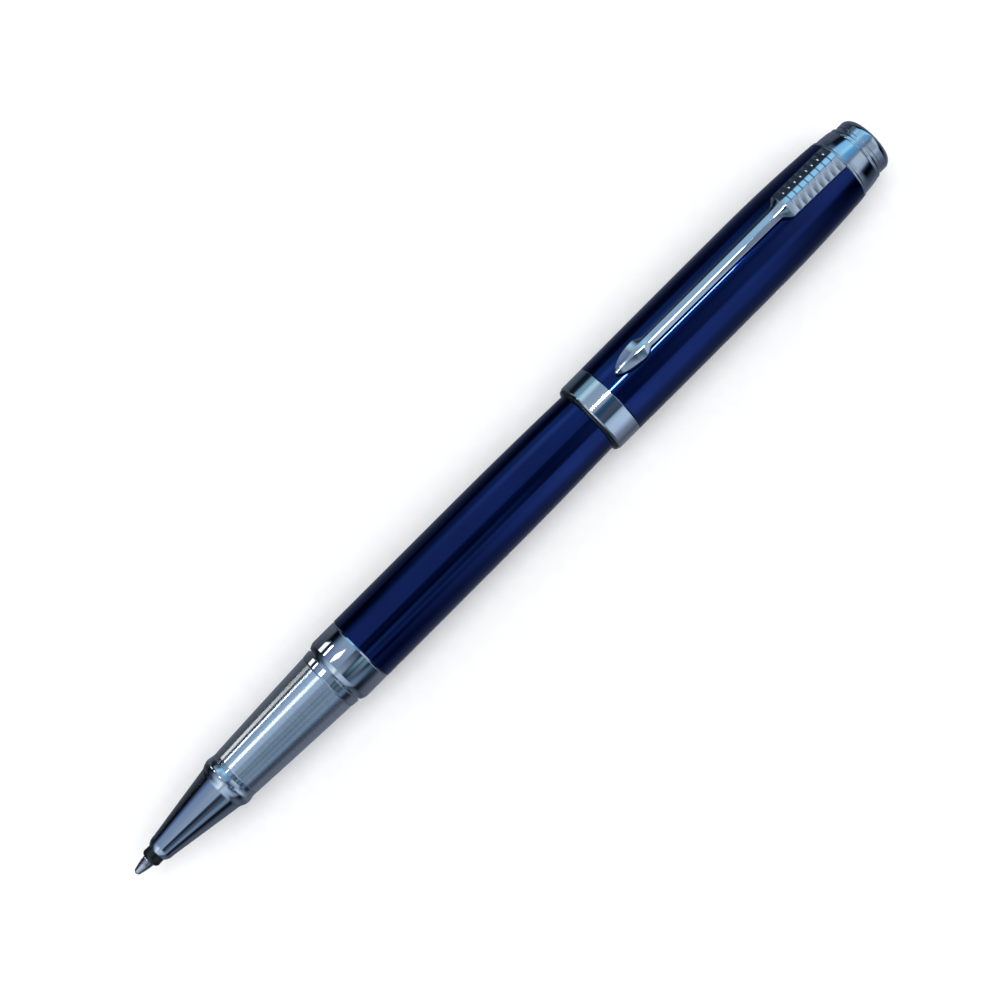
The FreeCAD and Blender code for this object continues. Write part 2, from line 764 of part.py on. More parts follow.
def clip_roof():
    """Everything under the clip's flat ridge and the slopes that fall from it to each edge."""
    tip_rear = clip_front + CLIP_TIP_LENGTH
    widest = clip_front + CLIP_TIP_WIDEST
    head_front = clip_rear - CLIP_HEAD_LENGTH
    seat_front = head_front + CLIP_HEAD_SHOULDER
    shaft_top = cap_belly_r + CLIP_LIFT + CLIP_THICKNESS
    seat_top = cap_radius(seat_front) + CLIP_SEAT_GAP + CLIP_HEAD_TOP
    rear_top = cap_radius(clip_rear) + CLIP_SEAT_GAP + EDGE + CLIP_HEAD_TOP
    ridge = CLIP_RIDGE_WIDTH / 2
    sections = []
    for x, width, top, drop in (
        (clip_front - EDGE, CLIP_TIP_WIDTH, shaft_top - CLIP_TIP_DROP, CLIP_TIP_DROP),
        (widest, CLIP_TIP_WIDTH, shaft_top, CLIP_TIP_DROP),
        (tip_rear, CLIP_SHAFT_FRONT_WIDTH, shaft_top, CLIP_SHAFT_DROP),
        (head_front, CLIP_SHAFT_REAR_WIDTH, shaft_top, CLIP_SHAFT_DROP),
        (seat_front, CLIP_HEAD_WIDTH, seat_top, CLIP_HEAD_DROP),
        (clip_rear + EDGE, CLIP_HEAD_WIDTH, rear_top, CLIP_HEAD_DROP),
    ):
        edge = width / 2
        low = top - drop
        outline = [
            (-CLIP_HEAD_WIDTH, 0), (CLIP_HEAD_WIDTH, 0), (CLIP_HEAD_WIDTH, low), (edge, low),
            (ridge, top), (-ridge, top), (-edge, low), (-CLIP_HEAD_WIDTH, low),
            (-CLIP_HEAD_WIDTH, 0),
        ]
        sections.append(Part.makePolygon([FreeCAD.Vector(x, y, z) for y, z in outline]))
    return Part.makeLoft(sections, True, True)


def clip():
    body = clip_side().common(clip_plan()).common(clip_roof())
    head_front = clip_rear - CLIP_HEAD_LENGTH + CLIP_HEAD_SHOULDER
    pitch = (clip_rear - head_front) / (RIB_COUNT + 1)
    front_top = cap_radius(head_front) + CLIP_SEAT_GAP + CLIP_HEAD_TOP
    rear_top = cap_radius(clip_rear) + CLIP_SEAT_GAP + EDGE + CLIP_HEAD_TOP
    for rib in range(1, RIB_COUNT + 1):
        x = head_front + rib * pitch
        top = front_top + (rear_top - front_top) * rib / (RIB_COUNT + 1)
        start = (x - RIB_WIDTH, top + RIB_DEPTH)
        steps = [(x + RIB_WIDTH, top + RIB_DEPTH), (x, top - RIB_DEPTH)]
        body = body.cut(slab(start, steps, 2 * CLIP_HEAD_WIDTH))
    tang_top = cap_rear_r + CLIP_HEAD_TOP / 2
    tang = block(tang_front, tang_rear, TANG_WIDTH, cap_rear_r - TANG_DEPTH, tang_top)
    return body.fuse(tang).removeSplitter()


PIECES = [
    writing_ball, refill_point, refill_collar, feed_rod, ink_reservoir, refill_tube,
    refill_end_plug, refill_spring, nose_cone, grip_sleeve, section_liner, section_ring,
    barrel_front_ring, barrel_bush, barrel_tube, barrel_end_cap, inner_cap, cap_band,
    cap_tube, clip_retainer, crown_base, crown_finial, cap_screw, clip,
]


def save(make):
    shape = make()
    if shape.ShapeType != "Solid":
        shape = shape.Solids[0]
    shape.translate(FreeCAD.Vector(-crown_end / 2, 0, axis_height))
    shape.exportStep("parts/" + make.__name__ + ".step")
    print(f"{make.__name__}: {shape.Volume:.2f} mm3, valid {shape.isValid()}")


os.makedirs("parts", exist_ok=True)
for piece in PIECES:
    save(piece)
print(f"length {crown_end:.2f}, axis height {axis_height:.2f}, x offset {-crown_end / 2:.2f}")
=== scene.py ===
"""Looks for a capped metal rollerball pen, laid out as an add-on and run as a script.

Outlines are in millimetres: x runs back along the pen from the front of the writing ball and r
runs out from its axis. The frame's nodes say where each piece starts, ends and how wide it is.
"""

import json
import math

import bmesh
import bpy
from bpy.props import FloatProperty, FloatVectorProperty, IntProperty, PointerProperty
from mathutils import Matrix, Vector


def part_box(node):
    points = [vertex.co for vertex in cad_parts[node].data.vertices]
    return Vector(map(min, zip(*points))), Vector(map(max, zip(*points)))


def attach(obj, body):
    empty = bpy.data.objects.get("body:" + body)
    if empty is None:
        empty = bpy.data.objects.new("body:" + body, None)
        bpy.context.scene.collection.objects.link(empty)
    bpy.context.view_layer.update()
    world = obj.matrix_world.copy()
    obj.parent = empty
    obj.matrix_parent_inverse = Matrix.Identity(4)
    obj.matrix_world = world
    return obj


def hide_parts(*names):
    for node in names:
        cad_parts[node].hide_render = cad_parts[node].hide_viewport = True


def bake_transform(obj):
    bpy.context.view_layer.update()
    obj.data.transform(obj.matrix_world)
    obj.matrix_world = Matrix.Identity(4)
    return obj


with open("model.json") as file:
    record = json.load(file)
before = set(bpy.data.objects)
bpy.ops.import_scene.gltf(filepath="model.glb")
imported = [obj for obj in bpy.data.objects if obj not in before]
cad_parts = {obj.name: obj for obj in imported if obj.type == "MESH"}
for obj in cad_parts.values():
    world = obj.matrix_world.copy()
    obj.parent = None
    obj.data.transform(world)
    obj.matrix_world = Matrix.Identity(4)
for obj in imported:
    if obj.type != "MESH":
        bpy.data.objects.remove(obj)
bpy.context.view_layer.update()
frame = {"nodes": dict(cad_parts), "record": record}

bl_info = {
    "name": "Rollerball Pen Looks",
    "version": (1, 0, 0),
    "blender": (4, 5, 0),
    "location": "View3D > Sidebar > Pen",
    "description": "Builds the turned pieces, clip, spring and finishes of a rollerball pen",
    "category": "Object",
}

MM = 0.001
AXIS_LIMIT = 1e-6
TIP_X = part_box("writing_ball")[0].x
AXIS_Z = sum(corner.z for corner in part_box("barrel_tube")) / 2


def linear(code):
    """Linear colour of an sRGB hex code."""
    parts = [int(code[k : k + 2], 16) / 255 for k in (1, 3, 5)]
    return tuple(c / 12.92 if c <= 0.04045 else ((c + 0.055) / 1.055) ** 2.4 for c in parts)


def span(node):
    """Front station, rear station and widest radius of a node, in millimetres."""
    low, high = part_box(node)
    return (low.x - TIP_X) / MM, (high.x - TIP_X) / MM, high.y / MM


def place(x, y, z):
    """Point in the frame from millimetres along the pen, across it and above its axis."""
    return Vector((TIP_X + x * MM, y * MM, AXIS_Z + z * MM))


# ---- Sizes and colours that a user would change ----------------------------------------------
class PenSizes(bpy.types.PropertyGroup):
    """Sizes of the details that the looks add to the frame's pieces."""

    around: IntProperty(name="Facets round", default=112, min=24, max=256,
                        description="Facets round each turned piece")
    edge: FloatProperty(name="Edge rounding", default=0.09, min=0.01, max=0.3,
                        description="Radius of a turned edge, in millimetres")
    lead: FloatProperty(name="Thread lead", default=0.6, min=0.3, max=1.5,
                        description="Advance of the section's thread in one turn, in millimetres")
    thread_depth: FloatProperty(name="Thread depth", default=0.2, min=0.05, max=0.3,
                                description="Height of the thread's crests, in millimetres")
    rib_count: IntProperty(name="Clip grooves", default=8, min=0, max=12,
                           description="Straight grooves across the clip's head")
    rib_width: FloatProperty(name="Groove width", default=0.28, min=0.1, max=0.8,
                             description="Width of a groove across the head, in millimetres")
    rib_depth: FloatProperty(name="Groove depth", default=0.10, min=0.05, max=0.4,
                             description="Depth of a groove across the head, in millimetres")
    ridge: FloatProperty(name="Clip ridge", default=1.0, min=0.4, max=1.6,
                         description="Width of the flat ridge along the clip, in millimetres")
    wire: FloatProperty(name="Spring wire", default=0.4, min=0.2, max=0.6,
                        description="Diameter of the refill spring's wire, in millimetres")


class PenColours(bpy.types.PropertyGroup):
    """Colours of the pen's finishes."""

    lacquer: FloatVectorProperty(name="Lacquer", subtype="COLOR", default=linear("#002264"),
                                 description="Metallic navy under the clear coat")
    shade: FloatVectorProperty(name="Lacquer shade", subtype="COLOR", default=linear("#001D5A"),
                               description="The navy where the colour coat is thicker")
    chrome: FloatVectorProperty(name="Chrome", subtype="COLOR", default=linear("#CBD0D6"),
                                description="Bright chrome plate")
    steel: FloatVectorProperty(name="Brushed steel", subtype="COLOR", default=linear("#EAF0F4"),
                               description="Grip sleeve of brushed stainless steel")
    black: FloatVectorProperty(name="Black plastic", subtype="COLOR", default=linear("#07080C"),
                               description="Moulded collar and cap liner")
    brass: FloatVectorProperty(name="Brass", subtype="COLOR", default=linear("#D9B46A"),
                               description="Threaded pieces inside the pen")
    point: FloatVectorProperty(name="Nickel silver", subtype="COLOR", default=linear("#C9C6C4"),
                               description="Refill's writing point")


class PenStage(bpy.types.PropertyGroup):
    """Camera and light of the studio."""

    lens: FloatProperty(name="Lens", default=80.28, min=20, max=200,
                        description="Focal length on a 36 mm sensor, in millimetres")
    distance: FloatProperty(name="Distance", default=0.3309, min=0.1, max=2, unit="LENGTH",
                            description="Camera to the point it looks at")
    roll_round: FloatProperty(name="Turn round the pen", default=math.radians(17.0),
                              subtype="ANGLE", description="Camera's turn about the pen")
    lean: FloatProperty(name="Lean to the nose", default=math.radians(3.275), subtype="ANGLE",
                        description="Camera's lean towards the writing end")
    key: FloatProperty(name="Overhead light", default=17.0, min=0, max=200, unit="POWER",
                       description="Large soft light over the floor")
    lamp: FloatProperty(name="Small lamp", default=1.0, min=0, max=50,
                        description="Strength of the small lamps that glint in the metal")


# ---- Turned meshes ---------------------------------------------------------------------------
# An arc shorter than this, in millimetres, is split by its turn, and a longer one by its length.
SHORT_ARC = 6.0
SHORT_ARC_TURN, LONG_ARC_TURN, LONG_ARC_STEP = 0.14, 0.12, 0.9
ROUNDING_FACET = math.radians(22)
NEARLY_STRAIGHT = math.radians(88)
SAME_POINT = 1e-5
STEPS_PER_LEAD = 8


def arc_points(first, through, last):
    """Points after the first along the arc through three (x, r) points."""
    (ax, ay), (bx, by), (cx, cy) = first, through, last
    d = 2 * (ax * (by - cy) + bx * (cy - ay) + cx * (ay - by))
    sa, sb, sc = ax * ax + ay * ay, bx * bx + by * by, cx * cx + cy * cy
    ux = (sa * (by - cy) + sb * (cy - ay) + sc * (ay - by)) / d
    uy = (sa * (cx - bx) + sb * (ax - cx) + sc * (bx - ax)) / d
    radius = math.hypot(ax - ux, ay - uy)
    start, middle, end = (math.atan2(y - uy, x - ux) for x, y in (first, through, last))
    turn = (end - start) % math.tau
    if (middle - start) % math.tau > turn:
        turn -= math.tau
    length = abs(turn) * radius
    if length < SHORT_ARC:
        count = max(5, int(abs(turn) / SHORT_ARC_TURN))
    else:
        count = min(36, int(length / LONG_ARC_STEP), int(abs(turn) / LONG_ARC_TURN) + 24)
    steps = (start + turn * (k + 1) / count for k in range(count))
    return [(ux + radius * math.cos(a), uy + radius * math.sin(a)) for a in steps]


def rounded(corners):
    """Closed outline with its corners (x, r, rounding) turned into small arcs."""
    outline = []
    for i, (x, r, rounding) in enumerate(corners):
        here = Vector((x, r))
        back = Vector(corners[i - 1][:2]) - here
        ahead = Vector(corners[(i + 1) % len(corners)][:2]) - here
        shorter = min(back.length, ahead.length)
        sharp = rounding <= 0 or shorter < SAME_POINT
        half = 0 if sharp else back.angle(ahead) / 2
        if sharp or half > NEARLY_STRAIGHT:
            outline.append((x, r))
            continue
        room = 0.45 * shorter
        reach = min(rounding / math.tan(half), room)
        radius = reach * math.tan(half)
        back, ahead = back.normalized(), ahead.normalized()
        centre = here + (back + ahead).normalized() * radius / math.sin(half)
        start, end = here + back * reach, here + ahead * reach
        # A point just beyond each end of the arc keeps the flats beside it shaded flat.
        beyond = min(reach * 1.55, room * 2)
        outline.append(tuple(here + back * beyond))
        spread = (start - centre).angle(end - centre)
        count = max(2, int(spread / ROUNDING_FACET) + 1)
        for k in range(count + 1):
            way = (start - centre).slerp(end - centre, k / count)
            outline.append(tuple(centre + way.normalized() * radius))
        outline.append(tuple(here + ahead * beyond))
    return outline


def outline_of(*steps):
    """Outline from corners (x, r[, rounding]) and arcs ((x, r), end (x, r)[, rounding])."""
    corners = []
    for step in steps:
        if isinstance(step[0], tuple):
            points = arc_points(corners[-1][:2], step[0], step[1])
            rounding = step[2] if len(step) > 2 else 0
            corners += [(x, r, 0) for x, r in points[:-1]]
            corners.append((*points[-1], rounding))
        else:
            corners.append((*step, 0) if len(step) == 2 else step)
    return rounded(corners)


def finished_mesh(name, vertices, faces, crease=38):
    """Object whose faces look outwards, smooth except where they meet at a crease or more."""
    mesh = bpy.data.meshes.new(name)
    mesh.from_pydata(vertices, [], faces)
    work = bmesh.new()
    work.from_mesh(mesh)
    bmesh.ops.remove_doubles(work, verts=work.verts, dist=1e-8)
    bmesh.ops.recalc_face_normals(work, faces=work.faces)
    for face in work.faces:
        face.smooth = True
    for edge in work.edges:
        edge.smooth = edge.calc_face_angle(0) < math.radians(crease)
    work.to_mesh(mesh)
    work.free()
    piece = bpy.data.objects.new(name, mesh)
    bpy.context.scene.collection.objects.link(piece)
    return piece


def skin(rings, size, start=0):
    """Faces round a run of rings with size points each, closed by a face at both ends."""
    faces = []
    for k in range(rings - 1):
        here, after = start + k * size, start + (k + 1) * size
        for s in range(size):
            n = (s + 1) % size
            faces.append((here + s, here + n, after + n, after + s))
    last = start + (rings - 1) * size
    return [*faces, tuple(range(start, start + size)), tuple(range(last, last + size))]


def turned(name, outline, around, thread=None):
    """Turned piece. A thread is (front, rear, lead, depth) of a helix cut into the outline."""
    vertices, rings = [], []
    for x, r in outline:
        if r < AXIS_LIMIT:
            rings.append([len(vertices)])
            vertices.append(place(x, 0, 0))
            continue
        rings.append(list(range(len(vertices), len(vertices) + around)))
        for k in range(around):
            a = math.tau * k / around
            radius = r + cut(thread, x, a)
            vertices.append(place(x, radius * math.sin(a), radius * math.cos(a)))
    faces = []
    for i, ring in enumerate(rings):
        after = rings[(i + 1) % len(rings)]
        if len(ring) == len(after) == 1:
            continue
        for k in range(around):
            j = (k + 1) % around
            corners = [ring[k % len(ring)], ring[j % len(ring)],
                       after[j % len(after)], after[k % len(after)]]
            faces.append(tuple(dict.fromkeys(corners)))
    return finished_mesh(name, vertices, faces)


def cut(thread, x, angle):
    """Change of radius at a station and angle where a thread is cut, fading in at its ends."""
    if thread is None:
        return 0
    front, rear, lead, depth = thread
    if not front < x < rear:
        return 0
    fade = min(1, (x - front) / lead, (rear - x) / lead)
    phase = ((x - front) / lead - angle / math.tau) % 1
    # Flat crests and roots with straight flanks between them.
    crest = min(1, max(0, (0.5 - abs(phase - 0.5)) * 4 - 0.5))
    return depth * fade * crest


def threaded_run(front, rear, radius, lead):
    """Corners close enough along a thread to draw its crests."""
    count = int((rear - front) / lead * STEPS_PER_LEAD)
    return [(front + (rear - front) * k / count, radius) for k in range(count + 1)]


def settle(piece, body, nodes, slot):
    """Gives a piece its slot's finish and ties it to the body and nodes that it stands for."""
    piece.data.materials.clear()
    piece.data.materials.append(finish(slot))
    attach(piece, body)
    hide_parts(*nodes)
    return piece


def body_of_node(node):
    """Body that carries a node in the frame."""
    return next(b for b, nodes in frame["record"]["behaviour"]["bodies"].items() if node in nodes)


def turn_node(node, slot, outline, thread=None, around=None):
    """Turned piece that stands for one node and rides with its body."""
    facets = around or bpy.context.scene.pen_sizes.around
    piece = turned(node + "_turned", outline, facets, thread)
    return settle(piece, body_of_node(node), [node], slot)


def refinish(node, slot):
    """Gives its finish to a piece that keeps the frame's own shape."""
    materials = frame["nodes"][node].data.materials
    materials.clear()
    materials.append(finish(slot))


# ---- Finishes --------------------------------------------------------------------------------
def put(tree, kind, sockets=None, **settings):
    """Adds a node, sets its own settings and fills its sockets with values or links."""
    made = tree.nodes.new(kind)
    for key, value in settings.items():
        setattr(made, key, value)
    for key, value in (sockets or {}).items():
        if isinstance(value, bpy.types.NodeSocket):
            tree.links.new(value, made.inputs[key])
        else:
            made.inputs[key].default_value = value
    return made


def blank(name):
    """New material with an empty shader, returned with its node tree."""
    material = bpy.data.materials.new(name)
    material.use_nodes = True
    material.node_tree.nodes.clear()
    return material, material.node_tree


def grain(tree, size_mm, stretch=(1, 1, 1), detail=2.0, rough=0.5, shift=0):
    """Noise whose blobs are about size_mm across, drawn out by stretch along each axis."""
    place_of = put(tree, "ShaderNodeTexCoord").outputs["Object"]
    per_metre = 1 / (size_mm * MM)
    scale = [per_metre / s for s in stretch]
    put_at = put(tree, "ShaderNodeMapping", {"Vector": place_of, "Scale": scale,
                                             "Location": (shift, shift, shift)})
    return put(tree, "ShaderNodeTexNoise", {"Vector": put_at.outputs[0], "Scale": 1.0,
                                            "Detail": detail, "Roughness": rough}).outputs[0]


def between(tree, factor, low, high, start=0.35, end=0.65):
    """Number that goes from low to high as the factor goes from start to end."""
    return put(tree, "ShaderNodeMapRange", {"Value": factor, "From Min": start, "From Max": end,
                                            "To Min": low, "To Max": high}).outputs[0]


def two_colours(tree, factor, first, second):
    """Colour between two as the factor goes from 0 to 1."""
    mix = put(tree, "ShaderNodeMix", {"Factor": factor}, data_type="RGBA")
    mix.inputs[6].default_value = (*first, 1)
    mix.inputs[7].default_value = (*second, 1)
    return mix.outputs[2]


def bump(tree, height, depth_mm, strength=1.0, normal=None):
    """Surface relief of a given depth."""
    sockets = {"Height": height, "Distance": depth_mm * MM, "Strength": strength}
    if normal is not None:
        sockets["Normal"] = normal
    return put(tree, "ShaderNodeBump", sockets).outputs[0]


def shaded(material, tree, **sockets):
    """Ends a material with its Principled shader."""
    named = {key.replace("_", " "): value for key, value in sockets.items()}
    shader = put(tree, "ShaderNodeBsdfPrincipled", named)
    put(tree, "ShaderNodeOutputMaterial", {"Surface": shader.outputs[0]})
    return material


def darker(colour, share):
    """Colour with its light cut to a share."""
    return tuple(c * share for c in colour)


def navy_lacquer(name="navy_lacquer"):
    """Metallic navy lacquer sprayed on brass tube, under a polished clear coat.

    The eye sees a deep blue that lifts in soft bands, and sharp reflections from the clear coat
    with a trace of orange peel.
    """
    colours = bpy.context.scene.pen_colours
    material, tree = blank(name)
    cloud = grain(tree, 9.0, detail=3)
    # Metallic flakes are 15 microns across; they are drawn at 60 so that they show at all.
    flake = grain(tree, 0.06, detail=1)
    tone = two_colours(tree, between(tree, cloud, 0, 1), colours.lacquer, colours.shade)
    # Orange peel from spraying has waves 1.5 mm long and a few tenths of a micron high.
    peel = bump(tree, grain(tree, 1.5, (2, 1, 1), detail=1), 0.0012)
    rough = between(tree, flake, 0.055, 0.08)
    return shaded(material, tree, Base_Color=tone, Metallic=0.97, Roughness=rough,
                  Coat_Weight=0.35, Coat_Roughness=0.02, Coat_IOR=1.5, Coat_Normal=peel)


def chrome_plate(name="chrome_plate"):
    """Bright chrome plated on polished brass.

    The eye sees a mirror with faint finger smears and hairlines from wiping.
    """
    colours = bpy.context.scene.pen_colours
    material, tree = blank(name)
    smear = grain(tree, 5.0, (2, 1, 1), detail=4, rough=0.6)
    # Wiping leaves hairlines 5 microns wide; they are drawn at 50.
    hairline = grain(tree, 0.05, (60, 1, 1), detail=1)
    tone = two_colours(tree, between(tree, smear, 0, 1, 0.3, 0.7), colours.chrome,
                       darker(colours.chrome, 0.93))
    rough = between(tree, smear, 0.035, 0.085, 0.3, 0.7)
    relief = bump(tree, hairline, 0.00015)
    return shaded(material, tree, Base_Color=tone, Metallic=1.0, Roughness=rough, Normal=relief)


def brushed_steel(name="brushed_steel"):
    """Stainless steel sleeve brushed round its girth on a lathe.

    The eye sees a satin sheen drawn out along the sleeve, with fine grooves running round it.
    """
    colours = bpy.context.scene.pen_colours
    material, tree = blank(name)
    # 240 grit leaves grooves 0.03 to 0.06 mm wide; they are drawn at 0.09.
    groove = grain(tree, 0.09, (1, 40, 40), detail=3, rough=0.7)
    wear = grain(tree, 6.0, (3, 1, 1), detail=2)
    tone = two_colours(tree, between(tree, groove, 0, 1, 0.3, 0.7), colours.steel,
                       darker(colours.steel, 0.84))
    rough = between(tree, wear, 0.20, 0.27)
    along = put(tree, "ShaderNodeTangent", direction_type="RADIAL", axis="X").outputs[0]
    relief = bump(tree, groove, 0.0006)
    return shaded(material, tree, Base_Color=tone, Metallic=1.0, Roughness=rough,
                  Anisotropic=0.85, Anisotropic_Rotation=0.25, Tangent=along, Normal=relief)


def gloss_plastic(name, colour, rough=0.16):
    """Injection-moulded plastic from a polished mould: gloss with soft flow waves."""
    material, tree = blank(name)
    flow = grain(tree, 2.4, (3, 1, 1), detail=2)
    fine = grain(tree, 0.4, detail=2)
    tone = two_colours(tree, between(tree, flow, 0, 1), colour, darker(colour, 0.8))
    return shaded(material, tree, Base_Color=tone, Metallic=0.0, IOR=1.54,
                  Roughness=between(tree, flow, rough, rough * 1.5),
                  Normal=bump(tree, fine, 0.0015))


def turned_metal(name, colour, rough=0.22, groove_mm=0.08):
    """Metal left as it came from the lathe: fine feed marks run round it."""
    material, tree = blank(name)
    feed = grain(tree, groove_mm, (1, 30, 30), detail=2)
    stain = grain(tree, 3.0, detail=3)
    tone = two_colours(tree, between(tree, stain, 0, 1), colour, darker(colour, 0.82))
    return shaded(material, tree, Base_Color=tone, Metallic=1.0,
                  Roughness=between(tree, feed, rough * 0.8, rough * 1.3),
                  Normal=bump(tree, feed, 0.0015))


def bonded_fibre(name="bonded_fibre"):
    """Bundle of bonded polyester fibres, soaked with ink: matt, with threads along it."""
    material, tree = blank(name)
    threads = grain(tree, 0.05, (80, 1, 1), detail=3)
    tone = two_colours(tree, between(tree, threads, 0, 1), linear("#1A2446"), linear("#0B1230"))
    return shaded(material, tree, Base_Color=tone, Roughness=between(tree, threads, 0.7, 0.9),
                  Normal=bump(tree, threads, 0.01))


def lapped_carbide(name="lapped_carbide"):
    """Sintered tungsten carbide ball, lapped smooth, with fine pores that hold ink."""
    material, tree = blank(name)
    pores = grain(tree, 0.03, detail=3)
    tone = two_colours(tree, between(tree, pores, 0, 1), linear("#8C8F96"), linear("#5E6168"))
    return shaded(material, tree, Base_Color=tone, Metallic=1.0,
                  Roughness=between(tree, pores, 0.16, 0.3), Normal=bump(tree, pores, 0.001))


FINISHES = {}


def finish(name):
    """The named finish, made when it is first asked for and then kept in FINISHES."""
    if name not in FINISHES:
        colours = bpy.context.scene.pen_colours
        FINISHES[name] = {
            "navy_lacquer": navy_lacquer,
            "chrome": chrome_plate,
            "brushed_steel": brushed_steel,
            "black_plastic": lambda: gloss_plastic("moulded_black_abs", colours.black),
            "natural_plastic": lambda: gloss_plastic("natural_polypropylene",
                                                     linear("#C9C7BD"), 0.35),
            "brass": lambda: turned_metal("turned_brass", colours.brass),
            "nickel_silver": lambda: turned_metal("turned_nickel_silver", colours.point, 0.14,
                                                  0.03),
            "refill_steel": lambda: turned_metal("drawn_stainless_steel", linear("#B8BBBE"),
                                                 0.2, 0.2),
            "spring_steel": lambda: turned_metal("drawn_spring_wire", linear("#A9ABAE"), 0.25,
                                                 0.05),
            "carbide": lapped_carbide,
            "fibre": bonded_fibre,
        }[name]()
    return FINISHES[name]


# ---- The refill ------------------------------------------------------------------------------
class PEN_OT_writing_point(bpy.types.Operator):
    """Turned point of the refill with its lip rolled in round the carbide ball"""

    bl_idname = "pen.writing_point"
    bl_label = "Writing point"

    def execute(self, context):
        front, rear, r = span("writing_ball")
        ball = outline_of((front, 0), ((front + r, r), (rear, 0)))
        turn_node("writing_ball", "carbide", ball, around=48)
        mouth, shank_rear, point_r = span("refill_point")
        collar_front = span("refill_collar")[0]
        neck = collar_front - 1.0
        outline = outline_of(
            (mouth + 0.22, 0.395), (mouth, 0.42, 0.02), (mouth + 0.02, 0.475, 0.03),
            (mouth + 0.16, 0.53, 0.04), ((mouth + 0.8, 0.69), (neck - 0.05, 0.85), 0.02),
            (neck, 0.83, 0.02), (neck + 0.1, 0.89, 0.03), (collar_front - 0.15, point_r, 0.1),
            (shank_rear, point_r, 0.05), (shank_rear, 0.55), (mouth + 0.75, 0.55),
            (mouth + 0.45, 0.395),
        )
        turn_node("refill_point", "nickel_silver", outline, around=72)
        return {"FINISHED"}


class PEN_OT_refill(bpy.types.Operator):
    """Refill behind its point: black collar, steel tube, reservoir and end plug"""

    bl_idname = "pen.refill"
    bl_label = "Refill"

    def execute(self, context):
        front, spigot_rear, spigot_r = span("refill_collar")
        tube_front, tube_rear, tube_r = span("refill_tube")
        nose_front = span("nose_cone")[0]
        cone_front, cone_rear = nose_front + 3.6, nose_front + 10.2
        shank_rear, point_r = span("refill_point")[1:]
        collar = outline_of(
            (front + 0.25, point_r), (front, point_r + 0.04, 0.03), (front, 1.12, 0.06),
            ((front + 0.16, 1.36), (front + 0.82, 1.50)), (cone_front, 1.50, 0.3),
            (cone_rear, 2.5, 0.5), (tube_front, 2.5, 0.03), (tube_front, spigot_r),
            (spigot_rear, spigot_r, 0.2), (spigot_rear, 0.9), (shank_rear, 0.9),
            (shank_rear, point_r),
        )
        turn_node("refill_collar", "black_plastic", collar)
        tube = outline_of(
            (tube_front, spigot_r), (tube_front, tube_r, 0.08), (tube_front + 1.2, tube_r, 0.2),
            (tube_front + 1.45, tube_r - 0.1, 0.15), (tube_front + 1.7, tube_r, 0.2),
            (tube_rear - 1.7, tube_r, 0.2), (tube_rear - 1.45, tube_r - 0.1, 0.15),
            (tube_rear - 1.2, tube_r, 0.2), (tube_rear, tube_r, 0.08), (tube_rear, spigot_r),
        )
        turn_node("refill_tube", "refill_steel", tube)
        plug_front, plug_rear, plug_r = span("refill_end_plug")
        vent = 0.4
        plug = outline_of(
            (plug_front, vent), (plug_front, spigot_r, 0.2), (tube_rear, spigot_r),
            (tube_rear, plug_r, 0.05), (plug_rear, plug_r, 0.4), (plug_rear, 1.4, 0.1),
            (plug_rear - 0.3, 1.2, 0.1), (plug_rear - 0.3, vent),
        )
        turn_node("refill_end_plug", "natural_plastic", plug)
        for node, slot in (("feed_rod", "natural_plastic"), ("ink_reservoir", "fibre")):
            refinish(node, slot)
        return {"FINISHED"}


class PEN_OT_spring(bpy.types.Operator):
    """Compression spring between the refill and the end of the barrel"""

    bl_idname = "pen.spring"
    bl_label = "Refill spring"

    def execute(self, context):
        front, rear, outer = span("refill_spring")
        wire = context.scene.pen_sizes.wire / 2
        mean, turns, sides, steps = outer - wire, 5, 12, 40
        start, end = front + wire, rear - wire
        vertices = []
        for k in range(turns * steps + 1):
            t = k / (turns * steps)
            a = math.tau * turns * t
            # The pitch is halved at both ends, where a real spring's turns close up.
            x = start + (end - start) * (t * t * (3 - 2 * t) * 0.5 + t * 0.5)
            for s in range(sides):
                b = math.tau * s / sides
                r = mean + wire * math.cos(b)
                vertices.append(place(x + wire * math.sin(b), r * math.sin(a),
                                      r * math.cos(a)))
        faces = skin(turns * steps + 1, sides)
        coil = finished_mesh("refill_spring_coil", vertices, faces, crease=50)
        coil.data.materials.append(finish("spring_steel"))
        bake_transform(coil)
        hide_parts("refill_spring")
        return {"FINISHED"}


# ---- The writing section ---------------------------------------------------------------------
class PEN_OT_nose_cone(bpy.types.Operator):
    """Chromed nose cone with a bead round its foot"""

    bl_idname = "pen.nose_cone"
    bl_label = "Nose cone"

    def execute(self, context):
        edge = context.scene.pen_sizes.edge
        front, rear, bead_r = span("nose_cone")
        neck_r, cone_r, bore = bead_r - 0.195, bead_r - 0.545, 1.55
        neck, bead, foot = rear - 0.7, rear - 1.7, rear - 2.7
        flare = foot - 0.85
        outline = outline_of(
            (front, bore), (front, 1.62, 0.04), ((front + 0.42, 1.87), (front + 1.4, 2.06)),
            (flare, cone_r, 0.8), ((foot - 0.35, cone_r + 0.0975), (foot, cone_r + 0.2725)),
            ((bead - 0.55, bead_r - 0.0975), (bead, bead_r)),
            ((bead + 0.5, bead_r - 0.068), (neck, neck_r), edge), (rear, neck_r, 0.05),
            (rear, 3.42), (rear - 3.15, 3.42), (rear - 3.15, 2.55), (front + 10.15, 2.55),
            (front + 3.55, bore),
        )
        turn_node("nose_cone", "chrome", outline)
        return {"FINISHED"}


